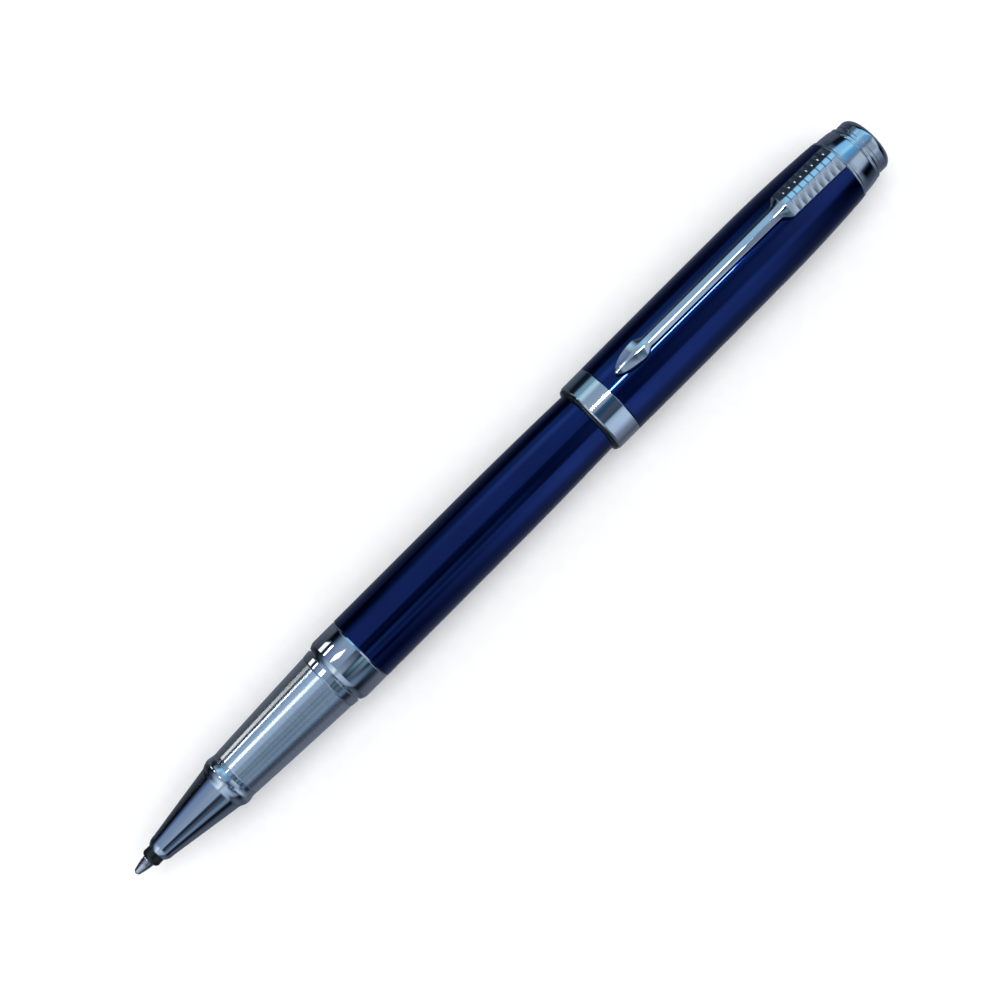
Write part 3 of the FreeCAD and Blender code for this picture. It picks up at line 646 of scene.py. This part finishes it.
class PEN_OT_grip(bpy.types.Operator):
    """Brushed steel grip sleeve, a little wider towards the barrel"""

    bl_idname = "pen.grip"
    bl_label = "Grip sleeve"

    def execute(self, context):
        front, rear, rear_r = span("grip_sleeve")
        front_r, bore = 4.17, 3.77
        middle = ((front + rear) / 2, (front_r + rear_r) / 2 + 0.025)
        outline = outline_of(
            (front, bore), (front, front_r - 0.07, 0.03), (front + 0.09, front_r, 0.05),
            (middle, (rear - 0.09, rear_r), 0.05), (rear, rear_r - 0.08, 0.03), (rear, bore),
        )
        turn_node("grip_sleeve", "brushed_steel", outline)
        return {"FINISHED"}


class PEN_OT_threads(bpy.types.Operator):
    """Section liner with its screw thread, and the brass bush in the barrel that takes it"""

    bl_idname = "pen.threads"
    bl_label = "Liner and threaded bush"

    def execute(self, context):
        sizes = context.scene.pen_sizes
        front, rear, crest = span("section_liner")
        section_rear = span("section_ring")[1]
        nose_rear = span("nose_cone")[1]
        grip_rear = span("grip_sleeve")[1]
        root = crest - sizes.thread_depth - 0.02
        thread = (section_rear + 0.4, rear - 0.4, sizes.lead, sizes.thread_depth)
        run = threaded_run(thread[0], thread[1], root, sizes.lead)
        liner = outline_of(
            (front, 2.55), (front, 3.40, 0.1), (nose_rear, 3.40), (nose_rear, 3.75),
            (grip_rear, 3.75), (grip_rear, 4.0), (section_rear, 4.0), (section_rear, root),
            *run, (rear, root, 0.3), (rear, 3.05, 0.1), (nose_rear + 1.2, 3.05),
            (nose_rear + 1.2, 2.55),
        )
        turn_node("section_liner", "brass", liner, thread, around=64)
        bush_front, bush_rear, outer = span("barrel_bush")
        inner = crest + 0.05
        inward = (bush_front + 0.3, bush_rear - 0.3, sizes.lead, -0.04)
        hollow = threaded_run(bush_front + 0.3, bush_rear - 0.3, inner + 0.04, sizes.lead)
        bush = outline_of(
            (bush_front, inner, 0.1), (bush_front, outer), (bush_rear, outer, 0.1),
            (bush_rear, inner + 0.04, 0.05), *hollow[::-1],
        )
        turn_node("barrel_bush", "brass", bush, inward, around=64)
        return {"FINISHED"}


class PEN_OT_section_rings(bpy.types.Operator):
    """Chromed ring behind the grip and the flared ring at the barrel's mouth"""

    bl_idname = "pen.section_rings"
    bl_label = "Chrome rings"

    def execute(self, context):
        edge = context.scene.pen_sizes.edge
        front, rear, rear_r = span("section_ring")
        # The ring starts clear of the sleeve's rear face, so that the two never share a plane.
        front += 0.01
        bore, soft = 4.03, edge * 1.8
        ring = outline_of((front, bore), (front, rear_r - 0.12, soft), (rear, rear_r, soft),
                          (rear, bore))
        turn_node("section_ring", "chrome", ring)
        flare_front, band_rear, band_r = span("barrel_front_ring")
        bush_front = span("barrel_bush")[0]
        outline = outline_of(
            (flare_front, 4.6), (flare_front, rear_r - 0.26), (flare_front + 0.16, rear_r - 0.26),
            (flare_front + 0.26, rear_r + 0.05, edge),
            ((flare_front + 0.7, rear_r + 0.27), (flare_front + 1.15, band_r)),
            (band_rear - 0.3, band_r, 0.3), (band_rear, band_r - 0.13, 0.05), (band_rear, 5.16),
            (bush_front, 5.16), (bush_front, 4.6),
        )
        turn_node("barrel_front_ring", "chrome", outline)
        return {"FINISHED"}


# ---- The barrel ------------------------------------------------------------------------------
class PEN_OT_barrel(bpy.types.Operator):
    """Lacquered barrel tube that tapers to the chromed cap at its rear end"""

    bl_idname = "pen.barrel"
    bl_label = "Barrel"

    def execute(self, context):
        edge = context.scene.pen_sizes.edge
        front, rear, r = span("barrel_tube")
        taper, rear_r, wall = front + 25.1, r - 1.41, 0.5
        middle = ((taper + rear) / 2, r - (r - rear_r) / 4)
        bore_front = rear - 6.0
        outline = outline_of(
            (front, r - wall), (front, r, edge), (front + 1.0, r), (taper, r),
            (middle, (rear, rear_r), 0.05), (rear, rear_r - 0.55), (bore_front, rear_r - 0.55),
            (bore_front, r - 1.58), ((bore_front - 21, r - 0.77), (taper, r - wall)),
        )
        turn_node("barrel_tube", "navy_lacquer", outline)
        spigot, end, end_r = span("barrel_end_cap")
        dome = outline_of(
            (spigot, 0), (spigot, end_r - 0.57, 0.15), (rear, end_r - 0.57), (rear, end_r, edge),
            (rear + 0.15, end_r), ((rear + 0.85, end_r - 0.23), (end - 0.08, end_r - 0.7), 0.1),
            (end, end_r - 0.95, 0.2), (end, 1.6, 0.1), (end - 0.12, 1.4, 0.1), (end - 0.12, 0),
        )
        turn_node("barrel_end_cap", "chrome", dome)
        return {"FINISHED"}


# ---- The cap ---------------------------------------------------------------------------------
# The clip's tang, ahead of the clip's rear end, and the room round it in the cap's slot.
TANG_FRONT, TANG_REAR, TANG_HALF, TANG_BEVEL, SLOT_ROOM = 1.4, 0.5, 1.4, 0.3, 0.3


class PEN_OT_inner_cap(bpy.types.Operator):
    """Black liner whose rim shows at the cap's mouth"""

    bl_idname = "pen.inner_cap"
    bl_label = "Inner cap"

    def execute(self, context):
        front, rear, lip_r = span("inner_cap")
        band_front = span("cap_band")[0]
        mouth, outer, seal = 5.40, 5.83, rear - 16.1
        outline = outline_of(
            (front, mouth, 0.12), (front, lip_r - 0.25, 0.08),
            ((front + 0.13, lip_r - 0.07), (band_front - 0.03, lip_r), 0.03),
            (band_front - 0.03, outer), (seal, outer, 0.3), (seal + 1.6, 4.7, 0.5),
            (rear, 4.7, 0.3), (rear, 0), (rear - 1.0, 0), (rear - 1.0, 4.2, 0.3),
            (seal + 1.6, 4.2, 0.5), (seal, mouth, 0.3),
        )
        turn_node("inner_cap", "black_plastic", outline)
        return {"FINISHED"}


class PEN_OT_cap(bpy.types.Operator):
    """Lacquered cap tube with the chromed band round its mouth"""

    bl_idname = "pen.cap"
    bl_label = "Cap tube and band"

    def execute(self, context):
        edge = context.scene.pen_sizes.edge
        front, rear, belly_r = span("cap_tube")
        band_front, band_rear, band_r = span("cap_band")
        front_r, shoulder_r, rear_r = band_r + 0.02, band_r + 0.05, band_r - 0.65
        bore, spigot_r, end_bore = front_r - 0.37, front_r - 0.19, rear_r - 0.61
        shoulder = rear - 18.5
        bend = ((shoulder + rear) / 2, shoulder_r - (shoulder_r - rear_r) / 4)
        outline = outline_of(
            (front, bore), (front, spigot_r), (band_rear, spigot_r), (band_rear, front_r, 0.07),
            (band_rear + 0.3, front_r), (((band_rear + shoulder) / 2, belly_r - 0.01),
                                         (shoulder, shoulder_r)),
            (bend, (rear, rear_r), edge), (rear, end_bore), (rear - 5.9, end_bore),
            (rear - 14.5, bore),
        )
        tube = turn_node("cap_tube", "navy_lacquer", outline,
                         around=128)
        cut_slot(tube)
        ring = outline_of(
            (band_front, bore), (band_front, band_r - 0.16, 0.05), (band_front + 0.2, band_r, 0.2),
            (band_rear - 0.1, band_r, 0.08), (band_rear, band_r - 0.1, 0.05),
            (band_rear, spigot_r + 0.02), (band_rear - 3.55, spigot_r + 0.02),
            (band_rear - 3.55, bore),
        )
        turn_node("cap_band", "chrome", ring, around=128)
        return {"FINISHED"}


def cut_slot(tube):
    """Cuts the opening in the cap's end that the clip's tang drops through."""
    rear = span("clip")[1]
    front, back = rear - TANG_FRONT - SLOT_ROOM, span("cap_tube")[1] + 1
    half = TANG_HALF + SLOT_ROOM
    corners = [(x, y, z) for x in (front, back) for y in (-half, half) for z in (2.0, 7.0)]
    vertices = [place(*c) for c in corners]
    faces = [(0, 1, 3, 2), (4, 6, 7, 5), (0, 4, 5, 1), (2, 3, 7, 6), (0, 2, 6, 4), (1, 5, 7, 3)]
    cutter = finished_mesh("slot_cutter", vertices, faces)
    opening = tube.modifiers.new("clip slot", "BOOLEAN")
    opening.operation, opening.object, opening.solver = "DIFFERENCE", cutter, "EXACT"
    bpy.context.view_layer.update()
    graph = bpy.context.evaluated_depsgraph_get()
    done = bpy.data.meshes.new_from_object(tube.evaluated_get(graph))
    tube.modifiers.clear()
    tube.data = done
    bpy.data.objects.remove(cutter)


class PEN_OT_crown(bpy.types.Operator):
    """Chromed crown: a flanged base, a bead, a groove and a domed end"""

    bl_idname = "pen.crown"
    bl_label = "Crown"

    def execute(self, context):
        edge = context.scene.pen_sizes.edge
        front, joint, flange_r = span("crown_base")
        cap_rear = span("cap_tube")[1]
        base_r, neck_r, hole = flange_r - 0.19, flange_r - 0.46, 1.55
        base = outline_of(
            (front, hole), (front, flange_r - 0.57, 0.1), (cap_rear, flange_r - 0.57),
            (cap_rear, flange_r, 0.1), (cap_rear + 0.4, flange_r, 0.12),
            (cap_rear + 0.5, base_r, 0.08), (cap_rear + 0.8, base_r),
            ((joint - 1.2, base_r - 0.08), (joint, neck_r), edge), (joint, hole),
        )
        turn_node("crown_base", "chrome", base)
        _, end, bead_r = span("crown_finial")
        bead_rear, ring_front, ring_rear = joint + 0.7, joint + 1.35, joint + 2.4
        ring_r, groove_r, end_r = bead_r - 0.27, bead_r - 0.36, bead_r - 1.01
        top = outline_of(
            (joint + 1.9, 0), (joint + 1.9, 1.45), (joint, 1.45), (joint, bead_r, 0.16),
            (bead_rear, bead_r, 0.2), (bead_rear + 0.05, groove_r, 0.1),
            (ring_front - 0.05, groove_r, 0.1), (ring_front, ring_r, 0.1),
            (ring_rear, ring_r, 0.15),
            ((ring_rear + 0.62, ring_r - 0.3), (end - 0.06, end_r), 0.15), (end, end_r - 0.4, 0.3),
            (end, 2.4, 0.12), (end - 0.1, 2.2, 0.15), (end - 0.04, 0),
        )
        turn_node("crown_finial", "chrome", top)
        for node, slot in (("cap_screw", "refill_steel"), ("clip_retainer", "brass")):
            refinish(node, slot)
        return {"FINISHED"}


# ---- The clip --------------------------------------------------------------------------------
def smooth(t):
    """Eases a share from 0 to 1."""
    t = min(1, max(0, t))
    return t * t * (3 - 2 * t)


def clip_sections(sizes):
    """Cross-sections along the clip.

    Each is a station, then half width, half ridge, top, slope's foot, underside and the depth
    that the ridge is sunk below the slopes' tops, between its beads.
    """
    front, rear, half_head = span("clip")
    top = (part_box("clip")[1].z - AXIS_Z) / MM
    leaf, widest, leaf_half, shaft_half, neck_half = 6.7, 5.1, 1.65, 1.0, 1.2
    tip, shoulder, head = front + leaf, rear - 12.5, rear - 10.8
    shaft_top, seat_top, rear_top = top - 0.18, top, top - 0.51
    shaft_low, seat_low, rear_low = shaft_top - 0.85, seat_top - 1.75, rear_top - 1.75
    touch_low, ridge = top - 1.74, sizes.ridge / 2
    nose = arc_points((0, touch_low + 0.85), (2.68, shaft_top - 0.05), (leaf, shaft_top))

    def along(points, x):
        """Height at a station of a line of points."""
        before = (0, points[0][1] * 0.999)
        for point in points:
            if x <= point[0]:
                share = (x - before[0]) / max(point[0] - before[0], 1e-6)
                return before[1] + (point[1] - before[1]) * share
            before = point
        return points[-1][1]

    rows = []
    for k in range(27):
        x = leaf * (k / 26) ** 1.5
        if x <= widest:
            half = max(0.12, math.sin(math.pi / 2 * (x / widest) ** 0.62) * leaf_half)
        else:
            half = leaf_half - (leaf_half - shaft_half) * smooth((x - widest) / (leaf - widest))
        high = along(nose, x)
        low = touch_low + 0.4 * (1 - smooth(x / 3.35))
        low += (shaft_low - touch_low) * smooth((x - 3.0) / 3.7)
        share = smooth((x - 1.0) / 5.7)
        keel = min(0.16 + (ridge - 0.16) * share, half * 0.5)
        drop = min(0.2 + 0.25 * share, half * 0.4)
        rows.append((front + x, half, keel, high, high - drop, min(low, high - drop - 0.18), 0))
    for k in range(1, 24):
        x = tip + (shoulder - tip) * k / 24
        half = shaft_half + (neck_half - shaft_half) * k / 24
        rows.append((x, half, ridge, shaft_top, shaft_top - 0.45, shaft_low, 0))
    for k in range(9):
        t = k / 8
        x = shoulder + (head - shoulder) * t
        half = neck_half + (half_head - 0.1 - neck_half) * smooth(t)
        high = shaft_top + (seat_top - shaft_top) * t
        drop = 0.45 + 0.5 * smooth(t)
        low = shaft_low + (seat_low - shaft_low) * smooth(t)
        rows.append((x, half, ridge, high, high - drop, low, 0))
    pitch = (rear - head) / (sizes.rib_count + 1)
    for rib in range(1, sizes.rib_count + 1):
        middle = head + rib * pitch
        for step, depth in ((-0.5, 0), (-0.06, 1), (0.06, 1), (0.5, 0)):
            x = middle + step * sizes.rib_width
            t = (x - head) / (rear - head)
            high = seat_top + (rear_top - seat_top) * t
            half = half_head - 0.1 * (1 - t)
            low = seat_low + (rear_low - seat_low) * t
            sunk = depth * sizes.rib_depth
            rows.append((x, half, ridge, high - sunk, high - 0.95 - sunk, low, sunk * 1.4))
    rows.append((rear - 0.12, half_head, ridge, rear_top + 0.01, rear_top - 0.94, rear_low, 0))
    rows.append((rear, half_head - 0.1, ridge - 0.1, rear_top - 0.09, rear_top - 1.0,
                 rear_low + 0.08, 0))
    return rows


class PEN_OT_clip(bpy.types.Operator):
    """Sprung pocket clip: leaf-shaped tip, ridged shaft and a head with straight grooves"""

    bl_idname = "pen.clip"
    bl_label = "Clip"

    def execute(self, context):
        vertices = []
        rows = clip_sections(context.scene.pen_sizes)
        for x, half, ridge, high, foot, low, bead in rows:
            soft = min(0.07, half * 0.2, (foot - low) * 0.3)
            side = [
                (ridge * 0.5, high - bead), (ridge - soft * 0.6, high - bead),
                (ridge + soft * 0.5, high - soft * 0.4),
                (half - soft * 0.7, foot + soft * 0.45), (half - soft * 0.15, foot - soft * 0.2),
                (half, foot - soft), (half, low + soft), (half - soft * 0.3, low + soft * 0.3),
                (half - soft, low), (half * 0.5, low),
            ]
            ring = [(0, high - bead), *side, (0, low)]
            ring += [(-y, z) for y, z in reversed(side)]
            vertices += [place(x, y, z) for y, z in ring]
        faces = skin(len(rows), len(vertices) // len(rows))
        add_tang(vertices, faces)
        piece = finished_mesh("clip_ridged", vertices, faces, crease=32)
        # Broad faces shade flat, and only the narrow rounded edges beside them turn.
        flats = piece.modifiers.new("flat faces", "WEIGHTED_NORMAL")
        flats.weight, flats.keep_sharp = 100, True
        settle(piece, "clip", ["clip"], "chrome")
        return {"FINISHED"}


def add_tang(vertices, faces):
    """Adds the tang under the clip's head that the retainer holds."""
    rear, low = span("clip")[1], (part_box("clip")[0].z - AXIS_Z) / MM
    start, half, foot = len(vertices), TANG_HALF, TANG_HALF - TANG_BEVEL
    section = ((-half, 6.4), (half, 6.4), (half, low + TANG_BEVEL), (foot, low), (-foot, low),
               (-half, low + TANG_BEVEL))
    for x in (rear - TANG_FRONT, rear - TANG_REAR):
        vertices.extend(place(x, y, z) for y, z in section)
    faces.extend(skin(2, len(section), start))


# ---- The studio ------------------------------------------------------------------------------
# What polished metal mirrors: a room whose walls change along the pen. Each wall is a direction
# along the pen, then colours by angle round it: degrees from straight up, positive to +Y.
NIGHT, DEEP, SLATE, WALL = "#04060C", "#101C2E", "#3C4656", "#5E626D"
DUSK, STEEL, SKY, PALE = "#3E5A70", "#667A90", "#8496AB", "#AABDD4"
ROOM = (
    (-0.62, ((-160, WALL), (-96, SLATE), (-80, SKY), (-30, PALE), (-16, SKY), (-6, "#DDE6EC"),
             (20, PALE), (60, SLATE), (90, NIGHT), (150, WALL))),
    (-0.34, ((-165, SLATE), (-125, SLATE), (-106, NIGHT), (-94, NIGHT), (-84, STEEL),
             (-72, STEEL), (-62, SLATE), (-54, SLATE), (-47, DEEP), (-36, DEEP), (-29, SKY),
             (10, "#74869E"), (34, "#6D81A4"), (52, "#3C506F"), (64, NIGHT), (84, NIGHT),
             (100, "#201F26"), (160, SLATE))),
    (-0.02, ((-165, WALL), (-127, WALL), (-104, "#242A39"), (-88, "#314456"), (-78, "#4A6278"),
             (-71, DEEP), (-66, DEEP), (-60, STEEL), (-54, STEEL), (-48, DUSK), (-44, "#7493A0"),
             (-38, "#7493A0"), (-34, DEEP), (-28, DEEP), (-24, SLATE), (-12, "#2F374A"),
             (-7, SKY), (34, SKY), (46, STEEL), (56, "#2C3F57"), (64, NIGHT), (78, NIGHT),
             (90, "#505761"), (160, WALL))),
    (0.12, ((-165, WALL), (-140, "#4C515B"), (-112, "#737E93"), (-90, PALE), (-70, PALE),
            (-58, "#92A6BE"), (-53, "#2F3D4E"), (-34, SLATE), (-26, "#1B3B5E"), (-17, "#2A4B5F"),
            (-11, SKY), (30, SKY), (41, "#B2D0DE"), (48, "#A7C5D4"), (54, "#719AAA"),
            (66, "#708EA2"), (74, DEEP), (90, NIGHT), (106, SLATE), (160, WALL))),
    (0.37, ((-165, WALL), (-138, SLATE), (-118, "#293345"), (-102, NIGHT), (-86, NIGHT),
            (-76, "#29364A"), (-66, "#8C98AC"), (-50, "#A4B2C2"), (-28, "#A4B2C2"),
            (-20, STEEL), (-8, "#5487B0"), (5, "#5999C7"), (14, "#96CFEA"), (28, "#80BCE4"),
            (42, "#7BB2DE"), (50, DEEP), (68, NIGHT), (82, SLATE), (160, WALL))),
)


def room_wall(tree, angle, stops):
    """Colours of one wall, as a ramp over the full turn round the pen."""
    ramp = put(tree, "ShaderNodeValToRGB", {"Fac": angle})
    elements = ramp.color_ramp.elements
    while len(elements) < len(stops):
        elements.new(1.0)
    for element, (degrees, code) in zip(elements, stops):
        element.position = (degrees + 180) / 360
        element.color = (*linear(code), 1)
    return ramp.outputs[0]


def room_light():
    """World that polished surfaces mirror and that lights nothing else."""
    world = bpy.data.worlds.new("room")
    world.use_nodes = True
    tree = world.node_tree
    tree.nodes.clear()
    way = put(tree, "ShaderNodeTexCoord").outputs["Generated"]
    parts = put(tree, "ShaderNodeSeparateXYZ", {"Vector": way}).outputs
    angle = put(tree, "ShaderNodeMath", {0: parts[1], 1: parts[2]}, operation="ARCTAN2")
    turn = put(tree, "ShaderNodeMapRange", {"Value": angle.outputs[0], "From Min": -math.pi,
                                            "From Max": math.pi}).outputs[0]
    (start, stops), *others = ROOM
    colour = room_wall(tree, turn, stops)
    for end, stops in others:
        share = put(tree, "ShaderNodeMapRange", {"Value": parts[0], "From Min": start,
                                                 "From Max": end}).outputs[0]
        mix = put(tree, "ShaderNodeMix", {"Factor": share}, data_type="RGBA")
        tree.links.new(colour, mix.inputs[6])
        tree.links.new(room_wall(tree, turn, stops), mix.inputs[7])
        colour, start = mix.outputs[2], end
    back = put(tree, "ShaderNodeBackground", {"Color": colour, "Strength": 1.6})
    put(tree, "ShaderNodeOutputWorld", {"Surface": back.outputs[0]})
    # Paper and plastic are lit by the lamps alone, so that their shadows stay neutral.
    world.cycles_visibility.diffuse = False
    bpy.context.scene.world = world


def matt_paper():
    """Matt white paper sweep: even and pale, with the faint mottle of its fibres."""
    material, tree = blank("matt_paper")
    mottle = grain(tree, 2.0, detail=3)
    tone = two_colours(tree, between(tree, mottle, 0, 1), linear("#F4F4F4"), linear("#F1F2F3"))
    return shaded(material, tree, Base_Color=tone, Roughness=0.9,
                  Normal=bump(tree, mottle, 0.005))


def sweep():
    """Round paper floor that curves up into a wall all the way round."""
    bend, reach, height, steps = 0.5, 1.0, 1.8, 12
    profile = [(0, 0), (0.6, 0), (reach, 0)]
    for k in range(1, steps + 1):
        a = math.pi / 2 * k / steps
        profile.append((reach + bend * math.sin(a), bend - bend * math.cos(a)))
    profile.append((reach + bend, height))
    vertices, faces, around = [Vector((0, 0, 0))], [], 96
    for r, z in profile[1:]:
        for k in range(around):
            a = math.tau * k / around
            vertices.append(Vector((r * math.cos(a), r * math.sin(a), z)))
    for k in range(around):
        faces.append((0, 1 + k, 1 + (k + 1) % around))
    for i in range(len(profile) - 2):
        base = 1 + i * around
        for k in range(around):
            n = (k + 1) % around
            faces.append((base + k, base + around + k, base + around + n, base + n))
    paper = finished_mesh("paper_sweep", vertices, faces)
    paper.data.materials.append(matt_paper())
    paper.visible_glossy = False


def area_light(name, power, size, spot, aim, mirrored=False):
    """Area light at a spot, turned to its aim. Only a mirrored one shows in polished metal."""
    lamp = bpy.data.lights.new(name, "AREA")
    lamp.shape, lamp.energy = "RECTANGLE", power
    lamp.size, lamp.size_y = size
    light = bpy.data.objects.new(name, lamp)
    light.location = spot
    way = Vector(aim) - Vector(spot)
    light.rotation_mode = "QUATERNION"
    light.rotation_quaternion = way.to_track_quat("-Z", "Y")
    light.visible_glossy = mirrored
    bpy.context.scene.collection.objects.link(light)
    return light


def shine_on(light, *names):
    """Flags a lamp off from everything but the named pieces."""
    lit = bpy.data.collections.new(light.name + "_lit")
    for name in names:
        lit.objects.link(bpy.data.objects[name])
    light.light_linking.receiver_collection = lit


class PEN_OT_stage(bpy.types.Operator):
    """Paper sweep, soft light, the room that the metal mirrors, and the camera"""

    bl_idname = "pen.stage"
    bl_label = "Stage"

    def execute(self, context):
        stage = context.scene.pen_stage
        sweep()
        room_light()
        context.scene.view_settings.view_transform = "Standard"
        middle = place(76.5, 0, 0)  # just short of half way along the pen
        area_light("overhead_light", stage.key, (1.5, 1.5), (0.1, -0.25, 1.35), middle)
        area_light("side_light", stage.key * 0.45, (1.6, 1.2), (0.5, -1.1, 0.9), middle)
        area_light("far_side_light", stage.key * 0.3, (1.8, 1.4), (-0.5, 1.1, 1.0), middle)
        lean, turn = stage.lean, stage.roll_round
        across = Vector((0, math.cos(turn), math.sin(turn)))
        back = Vector((0, -math.sin(turn), math.cos(turn)))
        along = Vector((1, 0, 0))
        right = math.cos(lean) * along + math.sin(lean) * back
        backward = math.cos(lean) * back - math.sin(lean) * along
        look = middle + across * 0.95 * MM

        def glint(name, station, angle, size, strength, reach):
            """Small lamp that the pen mirrors at a station, at an angle from the camera."""
            camera = look + backward * stage.distance
            spot = place(station, 0, 0)
            tilt = math.radians(angle)
            away = back * math.cos(tilt) + across * math.sin(tilt)
            slope = (spot.x - camera.x) / stage.distance
            where = spot + (away + along * slope).normalized() * reach
            power = strength * stage.lamp * size[0] * size[1] * math.pi
            return area_light(name, power, size, where, spot, mirrored=True)

        small_lamp = glint("small_lamp", 105.5, 15.5, (0.022, 0.085), 60, 0.35)
        shine_on(small_lamp, "cap_tube_turned", "clip_ridged", "cap_band_turned")
        glint("window_strip", 0.0, 34, (0.12, 0.22), 3.5, 1.0)
        glint("window_edge", 0.0, 69, (0.12, 0.09), 6, 1.0)
        glint("window_rim", 0.0, 92, (0.14, 0.28), 1.6, 1.0)

        axes = Matrix((((right - across) / math.sqrt(2)), ((right + across) / math.sqrt(2)),
                       backward)).transposed()
        data = bpy.data.cameras.new("camera")
        data.lens, data.sensor_width, data.clip_start = stage.lens, 36, 0.01
        camera = bpy.data.objects.new("camera", data)
        camera.rotation_mode = "QUATERNION"
        camera.rotation_quaternion = axes.to_quaternion()
        camera.location = look + backward * stage.distance
        context.scene.collection.objects.link(camera)
        context.scene.camera = camera
        return {"FINISHED"}


OPERATORS = (
    PEN_OT_writing_point, PEN_OT_refill, PEN_OT_spring, PEN_OT_nose_cone, PEN_OT_grip,
    PEN_OT_threads, PEN_OT_section_rings, PEN_OT_barrel, PEN_OT_inner_cap, PEN_OT_cap,
    PEN_OT_crown, PEN_OT_clip, PEN_OT_stage,
)


class PEN_PT_looks(bpy.types.Panel):
    """Lists the pen's pieces and its settings"""

    bl_label = "Rollerball Pen"
    bl_idname = "PEN_PT_looks"
    bl_space_type = "VIEW_3D"
    bl_region_type = "UI"
    bl_category = "Pen"

    def draw(self, context):
        for group in (context.scene.pen_sizes, context.scene.pen_colours,
                      context.scene.pen_stage):
            column = self.layout.column(align=True)
            for name in group.__annotations__:
                column.prop(group, name)
        for operator in OPERATORS:
            self.layout.operator(operator.bl_idname)


CLASSES = (PenSizes, PenColours, PenStage, *OPERATORS, PEN_PT_looks)


def register():
    """Adds the pen's settings, operators and panel."""
    for kind in CLASSES:
        bpy.utils.register_class(kind)
    bpy.types.Scene.pen_sizes = PointerProperty(type=PenSizes)
    bpy.types.Scene.pen_colours = PointerProperty(type=PenColours)
    bpy.types.Scene.pen_stage = PointerProperty(type=PenStage)


def unregister():
    """Takes the pen's settings, operators and panel away again."""
    del bpy.types.Scene.pen_stage
    del bpy.types.Scene.pen_colours
    del bpy.types.Scene.pen_sizes
    for kind in reversed(CLASSES):
        bpy.utils.unregister_class(kind)


def main():
    """Builds every piece in order."""
    register()
    for operator in OPERATORS:
        group, name = operator.bl_idname.split(".")
        getattr(getattr(bpy.ops, group), name)()


if __name__ == "__main__":
    main()
